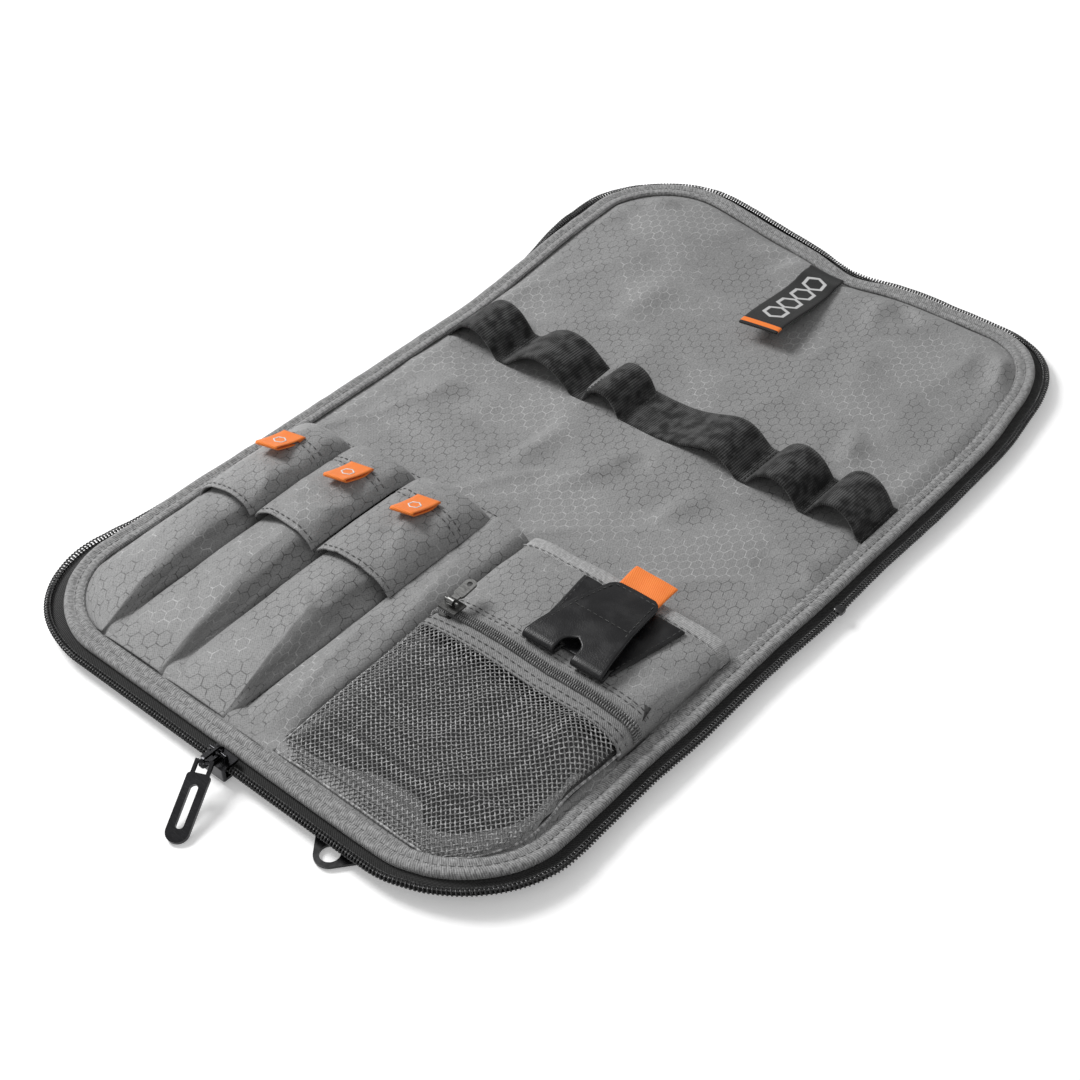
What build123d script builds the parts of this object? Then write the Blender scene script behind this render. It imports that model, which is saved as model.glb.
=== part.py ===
"""Cable organizer pouch, opened flat: a book-fold pouch with a soft spine.

The near half carries three flapped cable pockets, a pen slot, a slip pocket with a zipped mesh front and a
leather cable keeper. The far half carries a looped elastic strap and a woven label. A coil zip tape runs
round the edge of both halves, and its slider stays on the near half.

Units are millimetres. X runs along the short side, Y from the near half to the far half and Z up.
The origin is on the resting surface, under the middle of the spine.
"""

from build123d import *
from math import asin, degrees, hypot
import os

# ---- driving dimensions -------------------------------------------------------------------------------
panel_width = 232.0  # over the edge binding
panel_length = 380.0  # over the edge binding, both halves and the spine
corner_radius = 42.0
spine_width = 26.0  # between the two fold lines, and the pouch's closed gap
hinge_gap = 0.4  # each panel stops this short of its fold line
hinge_height = 8.0  # the fold lines lie above the binding, so the panels close inwards

cover = 1.0
foam = 2.6
board = 1.4
lining = 0.8
lining_top = cover + foam + board + lining
sheet = 1.0  # pocket fabric
leather = 1.2
ribbon = 0.6

half_width = panel_width / 2
edge_y = -panel_length / 2  # the near edge
fold_y = -spine_width / 2  # the near fold line

# ---- helpers ------------------------------------------------------------------------------------------


def prism_yz(points, x0, x1):
    """A polygon of (y, z) points, run from x0 to x1."""
    plane = Plane(origin=(x0, 0, 0), x_dir=(0, 1, 0), z_dir=(1, 0, 0))
    return extrude(plane * Polygon(*points, align=None), amount=x1 - x0, dir=(1, 0, 0))


def prism_xz(points, y0, y1):
    """A polygon of (x, z) points, run from y0 to y1."""
    plane = Plane(origin=(0, y1, 0), x_dir=(1, 0, 0), z_dir=(0, -1, 0))
    return extrude(plane * Polygon(*points, align=None), amount=y1 - y0, dir=(0, -1, 0))


def prism_xy(face, z0, z1):
    """A face in the XY plane, run from z0 to z1."""
    return extrude(Pos(0, 0, z0) * face, amount=z1 - z0, dir=(0, 0, 1))


def block(x0, x1, y0, y1, z0, z1):
    """A plain box between two corners."""
    return Pos((x0 + x1) / 2, (y0 + y1) / 2, (z0 + z1) / 2) * Box(x1 - x0, y1 - y0, z1 - z0)


def rod(x0, x1, y, z, radius):
    """A round bar along X."""
    return Pos((x0 + x1) / 2, y, z) * Rot(0, 90, 0) * Cylinder(radius, x1 - x0)


def band(top, thickness):
    """The outline of a sheet whose upper side is the given points, in rising order of the first coordinate."""
    normals = []
    for (a, b), (c, d) in zip(top, top[1:]):
        length = hypot(c - a, d - b)
        normals.append(((d - b) / length, -(c - a) / length))
    under = []
    for i, (a, b) in enumerate(top):
        before, after = normals[max(i - 1, 0)], normals[min(i, len(normals) - 1)]
        share = 1 + before[0] * after[0] + before[1] * after[1]
        under.append(
            (a + thickness * (before[0] + after[0]) / share, b + thickness * (before[1] + after[1]) / share)
        )
    return list(top) + under[::-1]


def along(profile, first, last):
    """The stretch of a profile of (position, height) points from first to last."""

    def height(position):
        for (a, b), (c, d) in zip(profile, profile[1:]):
            if a <= position <= c:
                return b + (d - b) * (position - a) / (c - a)

    inside = [point for point in profile if first < point[0] < last]
    return [(first, height(first)), *inside, (last, height(last))]


def raised(points, rise):
    """Points moved up."""
    return [(a, b + rise) for a, b in points]


def mirrored_x(shape):
    """The same shape on the other side of the YZ plane."""
    return mirror(shape, about=Plane.YZ)


# ---- the edge of a half: sections are (distance outside the binding's edge, height) -----------------------

rim_inset = 10.2  # the flat underside stops here, and the rim rises to the edge seam
board_inset = 4.4
seam_inset = 1.2
fittings_inset = 8.3  # what is sewn to the lining stays inside the binding
rim_section = [
    (-rim_inset, 0),
    (-rim_inset + 0.2, 0),
    (-seam_inset, 3.6),
    (-seam_inset, 4.6),
    (-rim_inset, cover),
]
binding_section = [
    (-8, lining_top),
    (-8, lining_top + 1.0),
    (-6.5, lining_top + 2.0),
    (-1.5, lining_top + 2.0),
    (0, lining_top + 0.8),
    (0, 4.7),
    (-seam_inset, 4.7),
    (-seam_inset, lining_top),
]
tape_low = 3.3
tape_top = 4.1
coil_centre = 5.0
tape_section = [
    (-seam_inset, 3.6),
    (-seam_inset, 4.6),
    (0, 4.6),
    (2.0, tape_top),
    (coil_centre, tape_top),
    (coil_centre, tape_low),
    (2.0, tape_low),
    (0, 3.6),
]
coil_half = 1.6
coil_height = 2.0
coil_section = [
    (coil_centre - coil_half, tape_top),
    (coil_centre - coil_half, tape_top + 1.2),
    (coil_centre - 0.8, tape_top + coil_height),
    (coil_centre + 0.8, tape_top + coil_height),
    (coil_centre + coil_half, tape_top + 1.2),
    (coil_centre + coil_half, tape_top),
]


def half_face(inset):
    """The near half's outline, square at the spine and rounded at the near corners."""
    w = half_width - inset
    y0 = edge_y + inset
    y1 = fold_y - hinge_gap
    face = Polygon((-w, y0), (w, y0), (w, y1), (-w, y1), align=None)
    return fillet(face.vertices().group_by(Axis.Y)[0], radius=corner_radius - inset)


def round_half(section):
    """An edge section run round the near half, from the spine on the right to the spine on the left."""
    w, r, y0, y1 = half_width, corner_radius, edge_y, fold_y - hinge_gap
    path = Wire(
        [
            Line((w, y1), (w, y0 + r)),
            TangentArc((w, y0 + r), (w - r, y0), tangent=(0, -1)),
            Line((w - r, y0), (r - w, y0)),
            TangentArc((r - w, y0), (-w, y0 + r), tangent=(-1, 0)),
            Line((-w, y0 + r), (-w, y1)),
        ]
    )
    start = Plane(origin=(w, y1, 0), x_dir=(1, 0, 0), z_dir=(0, -1, 0))
    return sweep(start * Polygon(*section, align=None), path=path)


def beside_spine(section, first, last):
    """An edge section run along both sides of the spine, from first to last."""
    right = prism_xz([(half_width + d, z) for d, z in section], first, last)
    return [right, mirrored_x(right)]


def make_halves():
    """The layers, binding, zip tape and zip coil of the near half, and their mirror images on the far half."""
    z1, z2, z3 = cover, cover + foam, cover + foam + board
    near = {
        "outer_cover": prism_xy(half_face(rim_inset), 0, cover) + round_half(rim_section),
        "foam": prism_xy(half_face(rim_inset + 0.2), z1, z2),
        "board": prism_xy(half_face(board_inset), z2, z3),
        "lining": prism_xy(half_face(seam_inset), z3, lining_top),
        "binding": round_half(binding_section),
        "zip_tape": round_half(tape_section),
        "zip_coil": round_half(coil_section),
    }
    nodes = {f"near_{name}": shape for name, shape in near.items()}
    nodes |= {f"far_{name}": mirror(shape, about=Plane.XZ) for name, shape in near.items()}
    return nodes


def make_spine():
    """The soft spine between the two fold lines."""
    y1 = spine_width / 2 - hinge_gap
    flat = half_width - rim_inset
    z1, z2, z3 = cover, cover + foam, cover + foam + board
    stop_half = 2.0
    bottom = block(-flat, flat, -y1, y1, 0, cover)
    for side in beside_spine(rim_section, -y1, y1):
        bottom += side
    coils = []
    for first, last in ((-y1, -stop_half), (stop_half, y1)):
        coils += beside_spine(coil_section, first, last)
    return {
        "spine_cover": bottom,
        "spine_foam": block(-flat, flat, -y1, y1, z1, z2),
        "spine_lining": block(seam_inset - half_width, half_width - seam_inset, -y1, y1, z3, lining_top),
        "spine_binding": Compound(beside_spine(binding_section, -y1, y1)),
        "spine_zip_tape": Compound(beside_spine(tape_section, -y1, y1)),
        "spine_zip_coil": Compound(coils),
        "zip_end_stops": Compound(
            beside_spine(
                [(3.0, tape_top), (3.0, tape_top + 2.4), (7.0, tape_top + 2.4), (7.0, tape_top)],
                -stop_half,
                stop_half,
            )
        ),
    }


# ---- cable pockets and their flaps --------------------------------------------------------------------

pocket_sides = ((-106.0, -76.2), (-75.2, -43.2), (-42.2, -9.2))
pocket_foot = -182.0
pocket_mouth = -88.0
pocket_rise = 12.0
pocket_profile = [
    (pocket_foot, 1.6),
    (-172.0, 5.6),
    (-155.0, 8.8),
    (-125.0, 11.2),
    (pocket_mouth, pocket_rise),
]
flap_shift = (-5.0, -2.0, 0.0)  # the three flaps aren't quite in line
flap_back = -41.5
flap_front = -106.0
patch = 0.8  # each half of the hook-and-loop fastener
patch_gap = 0.3
flap_sheet = 1.2
flap_over = 2 * patch + patch_gap + flap_sheet  # the flap's upper side above the pocket's
flap_wider = (0.0, 0.0, 5.5)  # the third flap laps over the pen slot
ribbon_width = 10.0
ribbon_centres = (-91.5, -56.5, -22.7)


def pocket_height(y):
    """The cable pockets' upper side above the lining."""
    return along(pocket_profile, y, pocket_mouth)[0][1]


def arch(x0, x1, rise, inset):
    """The (x, z) outline of a pocket's cross-section, with its shoulders cut off."""
    z = lining_top
    shoulder = 5.0
    top = z + rise - inset
    return [
        (x0 + inset, z),
        (x0 + inset, top - shoulder),
        (x0 + inset + shoulder, top),
        (x1 - inset - shoulder, top),
        (x1 - inset, top - shoulder),
        (x1 - inset, z),
    ]


def wedge(x0, x1, inset):
    """A pocket's outer or inner volume: tall at its mouth, flat at its foot and inside the binding."""
    z = lining_top
    foot = pocket_foot + 3 * inset
    side = raised(along(pocket_profile, foot, pocket_mouth), z - inset)
    shape = prism_yz([*side, (pocket_mouth, z), (foot, z)], x0 + inset, x1 - inset)
    shape &= prism_xz(arch(x0, x1, pocket_rise, inset), pocket_foot - 1, pocket_mouth + 1)
    return shape & prism_xy(half_face(fittings_inset + inset), 0, 60)


def make_cable_pockets():
    """Three hollow pockets, open towards the spine, and the loop patches on them."""
    nodes, patches = {}, []
    for k, (x0, x1) in enumerate(pocket_sides):
        nodes[f"cable_pocket_{k + 1}"] = wedge(x0, x1, 0) - wedge(x0, x1, sheet)
        first, last = flap_front + 3, pocket_mouth - 4
        top = [(y, lining_top + pocket_height(y) + patch + 0.02) for y in (first, last)]
        patches.append(prism_yz(band(top, patch), x0 + 8, x1 - 8))
    nodes["pocket_loop_patches"] = Compound(patches)
    return nodes


def make_flaps():
    """Each pocket's flap, its hook patch and its pull ribbon."""
    nodes = {}
    z = lining_top
    for k, (x0, x1) in enumerate(pocket_sides):
        shift = flap_shift[k]
        top = [
            (flap_front + shift / 2, z + pocket_height(flap_front + shift / 2) + flap_over),
            (pocket_mouth, z + pocket_rise + flap_over),
            (-60 + shift, z + 15.3),
            (-52 + shift, z + 13.6),
            (-44 + shift, z + 7.6),
            (flap_back + shift, z + 1.8),
        ]
        nodes[f"flap_{k + 1}"] = prism_yz(band(top, flap_sheet), x0 + 0.4, x1 - 0.4 + flap_wider[k])
        first, last = flap_front + 3, pocket_mouth - 4
        under = [(y, z + pocket_height(y) + flap_over - flap_sheet - 0.01) for y in (first, last)]
        nodes[f"flap_hook_patch_{k + 1}"] = prism_yz(band(under, patch), x0 + 8, x1 - 8)
        base = z + 15.3 + ribbon + 0.05
        tail = [(-78 + shift, base + 3.4), (-68 + shift, base), (-64 + shift, base)]
        middle = ribbon_centres[k]
        nodes[f"flap_ribbon_{k + 1}"] = prism_yz(
            band(tail, ribbon), middle - ribbon_width / 2, middle + ribbon_width / 2
        )
    return nodes


# ---- pen slot -----------------------------------------------------------------------------------------

pen_sides = (-8.4, 13.0)
pen_mouth = -47.0
pen_rise = 5.6


def make_pen_slot():
    """A long low pocket, open towards the spine."""
    x0, x1 = pen_sides
    z = lining_top

    def side(inset):
        foot = pocket_foot + 3 * inset
        return [
            (foot, z),
            (foot, z + 1.4 - inset / 2),
            (foot + 30, z + pen_rise - inset),
            (pen_mouth, z + pen_rise - inset),
            (pen_mouth, z),
        ]

    return {"pen_slot": prism_yz(side(0), x0, x1) - prism_yz(side(0.8), x0 + 0.8, x1 - 0.8)}


# ---- slip pocket with a zipped mesh front -------------------------------------------------------------

front_left = 14.0
front_right = 107.0
wall = 1.0
front = [(-182.0, 1.2), (-150.0, 9.0), (-112.0, 12.0), (-94.0, 12.0), (-50.0, 9.2)]
front = raised(front, lining_top)
chain_y = -100.0  # the pocket zip's centre line
chain_gap = 0.6  # half the space between the two rows of coil
chain_top = lining_top + 12.0
mouth_binding = 1.2


def front_sheet(first, last, thickness, rise=0.0):
    """A stretch of the pocket's front, between its side gussets."""
    top = raised(along(front, first, last), rise)
    strip = prism_yz(band(top, thickness), front_left + wall, front_right - wall)
    return strip & prism_xy(half_face(fittings_inset + wall), 0, 60)


def front_volume(side, inset):
    """The pocket's side profile run across it, inside the binding."""
    shape = prism_yz(side, front_left + inset, front_right - inset)
    return shape & prism_xy(half_face(fittings_inset + inset), 0, 60)


def make_front_pocket():
    """The divider, mesh, trim, zip, front panel, mouth binding and side gussets."""
    z = lining_top
    side = along(front, -182, -50) + [(-50, z), (-182, z)]
    inside = raised(along(front, -182, -50), 0.5) + [(-40, z + 9.7), (-40, z - 1), (-182, z - 1)]
    divider = [(-177, z + 0.9), (-99, z + 3.6), (-90.5, z + 10.2)]
    panel_edge = along(front, -54, -50)
    lip = panel_edge[1][1]
    binding = raised(panel_edge, mouth_binding) + [
        (-46.8, lip + mouth_binding - 0.3),
        (-46.8, lip - 2.2),
        (-49.98, lip - 2.2),
        (-49.98, lip),
    ]
    rows = []
    for outer, inner in ((-1.9, -chain_gap), (chain_gap, 1.9)):
        rows.append(
            block(
                front_left + wall + 2,
                front_right - wall - 2,
                chain_y + outer,
                chain_y + inner,
                chain_top,
                chain_top + 1.6,
            )
        )
    x0, x1 = front_left + wall, front_right - wall
    return {
        "pocket_gusset": front_volume(side, 0) - front_volume(inside, wall),
        "pocket_divider": prism_yz(band(divider, 0.6), x0, x1)
        & prism_xy(half_face(fittings_inset + wall), 0, 60),
        "pocket_mesh": front_sheet(-182, -110, 0.8),
        "pocket_mesh_trim": front_sheet(-110, -105, 0.8, 0.4),
        "pocket_zip_tapes": Compound(
            [
                front_sheet(-105, chain_y - chain_gap, 0.8),
                front_sheet(chain_y + chain_gap, -95.5, 0.8),
            ]
        ),
        "pocket_zip_coil": Compound(rows),
        "pocket_front_panel": front_sheet(-95.5, -50, sheet),
        "pocket_mouth_binding": prism_yz(binding, x0, x1),
    }


# ---- the pocket zip's slider and pull -----------------------------------------------------------------

small_slider_x = 22.5
small_slider_half = 4.0
small_wing_low = chain_top + 1.9
small_bar_z = chain_top + 4.7
small_pull_angle = 6.0
small_pull_reach = 12.0
small_pull_width = 4.6


def make_pocket_slider():
    """A slider whose thin post runs between the two rows of coil, and the pull on its bridge."""
    x, y = small_slider_x, chain_y
    h = small_slider_half
    leg = 0.9
    top_wing = block(x - h, x + h, y - 3.2, y + 3.2, small_wing_low, small_wing_low + 0.9)
    bottom_wing = block(x - h, x + h, y - 3.2, y + 3.2, chain_top - 2.2, chain_top - 1.2)
    post = block(x - h, x - h + 3, y - 0.35, y + 0.35, chain_top - 1.2, small_wing_low)
    slider = top_wing + bottom_wing + post + rod(x - 3, x + 3, y, small_bar_z, 0.6)
    for x0 in (x - 3, x + 3 - leg):
        slider += block(x0, x0 + leg, y - 0.6, y + 0.6, small_wing_low + 0.9, small_bar_z)
    pull = rod(x - 1.4, x + 1.4, y, small_bar_z, 1.5)
    pull += block(x - 1.4, x + 1.4, y + 0.8, y + 3.2, small_bar_z - 0.5, small_bar_z + 0.5)
    w = small_pull_width / 2
    tongue = Pos(x, y + (2.6 + small_pull_reach) / 2, small_bar_z) * Box(2 * w, small_pull_reach - 2.6, 1.0)
    tongue = fillet(tongue.edges().filter_by(Axis.Z), radius=1.8)
    pull += tongue
    pull -= Pos(x, y + small_pull_reach - 2.3, small_bar_z) * Cylinder(1.1, 4)
    pull -= rod(x - 5, x + 5, y, small_bar_z, 0.85)
    pull = pull.rotate(Axis((x, y, small_bar_z), (1, 0, 0)), small_pull_angle)
    return {"pocket_zip_slider": slider, "pocket_zip_pull": pull}


# ---- leather cable keeper -----------------------------------------------------------------------------

keeper_x = 69.0
keeper_fold_y = -93.0
keeper_roll = 2.0  # outer radius of the fold
keeper_fold_z = lining_top + 12.0 + 0.2 + keeper_roll
keeper_tip_y = -52.0
notch_half = 3.3
notch_end = -86.0


def keeper_plan(y0, half0, y1, half1):
    """A tapered outline seen from above, run through the whole height."""
    points = [
        (keeper_x - half0, y0),
        (keeper_x + half0, y0),
        (keeper_x + half1, y1),
        (keeper_x - half1, y1),
    ]
    return prism_xy(Polygon(*points, align=None), 0, 60)


def keeper_notch():
    """The cable notch across the fold."""
    x = keeper_x
    slot = block(x - notch_half, x + notch_half, keeper_fold_y - 5, notch_end, 0, 60)
    return slot + Pos(x, notch_end, 30) * Cylinder(notch_half, 60)


def make_keeper():
    """The sewn back layer, the fold-over flap with its pull ribbon, and the two halves of the magnet snap."""
    wide = (keeper_x - 30, keeper_x + 30)
    back_top = raised(along(front, -89.5, -54.2), leather + 0.02)
    back = prism_yz(band(back_top, leather), *wide) & keeper_plan(-90, 18.0, -54, 23.4)
    flap_top = [(keeper_fold_y, keeper_fold_z + keeper_roll), (keeper_tip_y, lining_top + 13.3)]
    flap = prism_yz(band(flap_top, leather), *wide) & keeper_plan(keeper_fold_y, 17.7, keeper_tip_y, 10.2)
    roll = rod(keeper_x - 17.7, keeper_x + 17.7, keeper_fold_y, keeper_fold_z, keeper_roll)
    roll -= rod(keeper_x - 30, keeper_x + 30, keeper_fold_y, keeper_fold_z, keeper_roll - leather)
    roll &= block(keeper_x - 30, keeper_x + 30, keeper_fold_y - 5, keeper_fold_y, 0, 60)
    flap = flap + roll - keeper_notch()
    disc = Pos(keeper_x, -66, 30) * Cylinder(5.0, 60)
    under_flap = raised(along(flap_top, -72, -60), -leather - 0.02)
    stud = prism_yz(band(under_flap, 0.6), *wide) & disc
    on_back = raised(along(back_top, -72, -60), 0.52)
    socket = prism_yz(band(on_back, 0.5), *wide) & disc
    tail = raised(along(flap_top, -57, keeper_tip_y), -leather - 0.03) + [(-42.5, lining_top + 11.7)]
    return {
        "keeper_back": back - keeper_notch(),
        "keeper_flap": flap,
        "keeper_snap_stud": stud,
        "keeper_snap_socket": socket,
        "keeper_ribbon": prism_yz(band(tail, ribbon), keeper_x - 9.7, keeper_x + 9.7),
    }


# ---- main zip slider, ring and pull tab ---------------------------------------------------------------

slider_x = 3.0
slider_half = 5.5
slider_y = edge_y - coil_centre
wing_low = tape_top + coil_height + 0.3
wing = 1.0
bar_z = wing_low + wing + 2.9
bar_radius = 0.7
ring_reach = 6.0  # between the ring's two centres
ring_inner = 1.3
ring_wire = 1.0
pull_length = 29.5
pull_width = 8.4
pull_sheet = 1.5
pull_swing = 24.4  # the tab hangs askew on its ring, in plan
pull_drop = degrees(asin((bar_z - 0.8) / pull_length))  # and slopes down to the surface


def make_slider():
    """The slider rides the near coil: its post runs outside the coil, with a wing above and one below."""
    x, y, h = slider_x, slider_y, slider_half
    y_in, y_out = y + 3.8, y - 3.7
    shape = block(x - h, x + h, y_out, y_in, wing_low, wing_low + wing)
    shape += block(x - h, x + h, y_out, y_in, tape_low - 1.4, tape_low - 0.3)
    shape += block(x - h, x + h, y_out, y_out + 1.6, tape_low - 0.4, wing_low + 0.1)
    shape = fillet(shape.edges().filter_by(Axis.Z).group_by(Axis.X)[-1], radius=0.7)
    shape += rod(x - 4, x + 4, y, bar_z, bar_radius)
    for x0 in (x - 4, x + 2.8):
        shape += block(x0, x0 + 1.2, y - 0.7, y + 0.7, wing_low + wing - 0.1, bar_z)
    return {"zip_slider": shape}


def make_ring():
    """A flat ring round the slider's bridge, standing across the zip."""
    plane = Plane(origin=(slider_x - ring_wire / 2, slider_y, bar_z), x_dir=(0, -1, 0), z_dir=(-1, 0, 0))
    outer = Pos(ring_reach / 2, 0) * SlotCenterToCenter(ring_reach, 2 * (ring_inner + ring_wire))
    inner = Pos(ring_reach / 2, 0) * SlotCenterToCenter(ring_reach, 2 * ring_inner)
    ring = extrude(plane * (outer - inner), amount=-ring_wire)
    return {"zip_pull_ring": ring}


def make_pull_tab():
    """The tab: a crossbar through the ring, a neck frame and a long slotted tongue, drawn along -Y."""
    w, t = pull_width / 2, pull_sheet
    bar = rod(-3.4, 3.4, 0, 0, 0.6)
    neck = block(-3.4, 3.4, -6.2, 0.6, -0.6, 0.6) - block(-2.2, 2.2, -4.4, 0.7, -2, 2)
    tongue = Pos(0, -4.6 - (pull_length - 4.6) / 2, 0) * Box(2 * w, pull_length - 4.6, t)
    tongue = fillet(tongue.edges().filter_by(Axis.Z).group_by(Axis.Y)[0], radius=w - 0.1)
    tongue = fillet(tongue.edges().filter_by(Axis.Z).group_by(Axis.Y)[-1], radius=1.2)
    slot = Pos(0, -16.6, 0) * extrude(SlotCenterToCenter(13.0, 3.0, rotation=90), amount=3, both=True)
    tab = tongue - slot + neck + bar
    place = Pos(slider_x, slider_y - ring_reach, bar_z) * Rot(0, 0, pull_swing) * Rot(pull_drop, 0, 0)
    return {"zip_pull_tab": place * tab}


# ---- hang tab -----------------------------------------------------------------------------------------

hang_x = 57.5
hang_hole_y = -196.8
hang_hole_radius = 3.6
hang_z = 1.25
hang_sheet = 1.0
hang_bar_y = -187.5
hang_bar = 1.0  # the bar that the webbing holds is square
loop_outer = 1.2
loop_inner = 0.85
loop_half = 7.6


def make_hang_tab():
    """A triangular metal tab with a round hole, and the webbing loop that holds it under the edge seam."""
    corner, slot = 1.3, 2.2
    back = hang_bar_y + hang_bar / 2 - corner
    outline = [*(Pos(hang_x, hang_hole_y) * Circle(5.6)).edges()]
    for dx in (-12.5, 12.5):
        outline += (Pos(hang_x + dx, back) * Circle(corner)).edges()
    plate = make_hull(outline) - Pos(hang_x, hang_hole_y) * Circle(hang_hole_radius)
    plate -= Pos(hang_x, hang_bar_y - (hang_bar + slot) / 2) * Rectangle(2 * loop_half + 1.8, slot)
    tab = prism_xy(plate, hang_z - hang_sheet / 2, hang_z + hang_sheet / 2)
    left, right = hang_x - loop_half, hang_x + loop_half
    strand = [
        (hang_bar_y, hang_z + loop_outer),
        (hang_bar_y - loop_outer, hang_z),
        (-191.6, tape_low - 0.3),
        (-191.6, tape_low),
        (-190.4, tape_low),
    ]
    webbing = rod(left, right, hang_bar_y, hang_z, loop_outer) + prism_yz(strand, left, right)
    webbing -= rod(left - 1, right + 1, hang_bar_y, hang_z, loop_inner)
    return {"hang_tab": tab, "hang_tab_webbing": webbing}


# ---- far half's fittings ------------------------------------------------------------------------------

strap_near, strap_far = 35.0, 59.6
strap_sheet = 1.2
strap_tacks = (-107.6, -76.0, -32.8, -9.7, 51.0, 80.0, 107.6)
strap_rises = (10.5, 11.5, 9.5, 8.5, 10.0, 11.0)
strap_crests = (0.5, 0.5, 0.5, 0.74, 0.5, 0.5)  # where each loop is highest, as a share of its width
tack_half = 1.6
shoulder_out, shoulder_up = 0.28, 0.66  # where a loop's shoulder is, as shares of its half width and its rise
crest_out = 0.72  # where a loop's flat top begins, as a share of its half width


def make_strap():
    """One elastic strap, tacked down between its loops."""
    z = lining_top
    top = []
    for a, b, rise, crest in zip(strap_tacks, strap_tacks[1:], strap_rises, strap_crests):
        left, right = crest * (b - a), (1 - crest) * (b - a)
        low = z + strap_sheet
        top += [
            (a + (tack_half if top else 0), low),
            (a + shoulder_out * left + tack_half, z + shoulder_up * rise),
            (a + crest_out * left, z + rise),
            (b - crest_out * right, z + rise),
            (b - shoulder_out * right - tack_half, z + shoulder_up * rise),
            (b - tack_half, low),
        ]
    top[-1] = (strap_tacks[-1], z + strap_sheet)
    return {"elastic_strap": prism_xz(band(top, strap_sheet), strap_near, strap_far)}


label_root_y = 180.5
label_root_x = -5.5
label_reach = 66.0
label_width = 19.0
label_swing = 5.5


def make_label():
    """A woven label sewn in at the far edge, its free end standing a little off the lining."""
    z = lining_top
    top = [(-label_reach, z + 7.0), (-36, z + 6.4), (-14, z + 2.2), (0, z + 0.75)]
    strip = prism_yz(band(top, 0.7), -label_width / 2, label_width / 2)
    return {"woven_label": Pos(label_root_x, label_root_y, 0) * Rot(0, 0, label_swing) * strip}


# ---- write every node ---------------------------------------------------------------------------------


def main():
    nodes = {}
    for make in (
        make_halves,
        make_spine,
        make_cable_pockets,
        make_flaps,
        make_pen_slot,
        make_front_pocket,
        make_pocket_slider,
        make_keeper,
        make_slider,
        make_ring,
        make_pull_tab,
        make_hang_tab,
        make_strap,
        make_label,
    ):
        nodes |= make()
    os.makedirs("parts", exist_ok=True)
    for name, shape in nodes.items():
        export_step(shape, f"parts/{name}.step")
    return nodes


main()
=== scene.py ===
import math

import bpy
import numpy as np
from mathutils import Matrix, Vector


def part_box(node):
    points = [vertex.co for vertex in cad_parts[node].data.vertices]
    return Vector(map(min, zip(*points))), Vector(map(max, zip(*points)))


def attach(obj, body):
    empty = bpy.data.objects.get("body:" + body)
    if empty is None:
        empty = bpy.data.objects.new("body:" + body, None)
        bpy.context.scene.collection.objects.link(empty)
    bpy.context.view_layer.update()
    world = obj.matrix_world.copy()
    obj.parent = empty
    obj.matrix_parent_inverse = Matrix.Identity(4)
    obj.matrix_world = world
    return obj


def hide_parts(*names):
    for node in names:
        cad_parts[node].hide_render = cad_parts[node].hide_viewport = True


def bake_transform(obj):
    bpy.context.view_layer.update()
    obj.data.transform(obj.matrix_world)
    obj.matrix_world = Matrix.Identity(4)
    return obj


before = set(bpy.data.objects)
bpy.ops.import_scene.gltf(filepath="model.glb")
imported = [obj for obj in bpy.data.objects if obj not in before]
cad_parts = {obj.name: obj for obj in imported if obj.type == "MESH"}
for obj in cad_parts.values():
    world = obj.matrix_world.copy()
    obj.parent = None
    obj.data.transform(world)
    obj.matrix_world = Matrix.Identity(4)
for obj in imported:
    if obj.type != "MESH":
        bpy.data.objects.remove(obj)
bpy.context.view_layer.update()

# Lengths are in millimetres until a mesh is made, and X, Y and Z are the frame's.
MM = 0.001


def low(node):
    """A CAD node's lowest corner, in millimetres."""
    return np.array(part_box(node)[0]) / MM


def high(node):
    """A CAD node's highest corner, in millimetres."""
    return np.array(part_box(node)[1]) / MM


HALF_X = high("near_binding")[0]
HALF_Y = high("far_binding")[1]
CORNER = 42.0  # radius of the outline's corners, at the binding's outer edge
LINING = high("near_lining")[2]
BINDING_WIDTH = 8.0
FOLD_REACH = 24.0  # the cloth within this of the spine's middle is made as separate fold pieces
COIL_OUT = high("near_zip_coil")[0] - HALF_X - 1.6
COIL_Z = (low("near_zip_coil")[2] + high("near_zip_coil")[2]) / 2


# ---------------------------------------------------------------- shapes as numbers


def smooth(a, b, v):
    """0 before a, 1 after b, and smooth between."""
    t = np.clip((np.asarray(v, float) - a) / (b - a), 0, 1)
    return t * t * (3 - 2 * t)


def bump(v, centre, width):
    """A soft hump of height 1."""
    return np.exp(-(((np.asarray(v, float) - centre) / width) ** 2))


def ripple(x, y, seed, wavelength):
    """Gentle unevenness between about -1 and 1, the same on every run."""
    numbers = np.random.default_rng(seed)
    total = np.zeros(np.broadcast(x, y).shape)
    for _ in range(7):
        turn = numbers.uniform(0, math.pi)
        long = wavelength * numbers.uniform(0.6, 1.7)
        phase = numbers.uniform(0, 2 * math.pi)
        along = x * math.cos(turn) + y * math.sin(turn)
        total = total + np.sin(2 * math.pi * along / long + phase)
    return total / 3.6


def rumple(x, y, seed, wavelength):
    """Sparse narrow folds between 0 and 1."""
    return np.clip(1 - 2.2 * np.abs(ripple(x, y, seed, wavelength)), 0, 1) ** 2


def lengths(path):
    """How far along a path of points each point lies."""
    return np.concatenate([[0], np.cumsum(np.linalg.norm(np.diff(path, axis=0), axis=1))])


def flow(v, places, values, soft):
    """Values between named places, with the corners rounded over soft."""
    steps = np.linspace(-soft, soft, 9)
    return sum(np.interp(np.asarray(v, float) + s, places, values) for s in steps) / len(steps)


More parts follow.
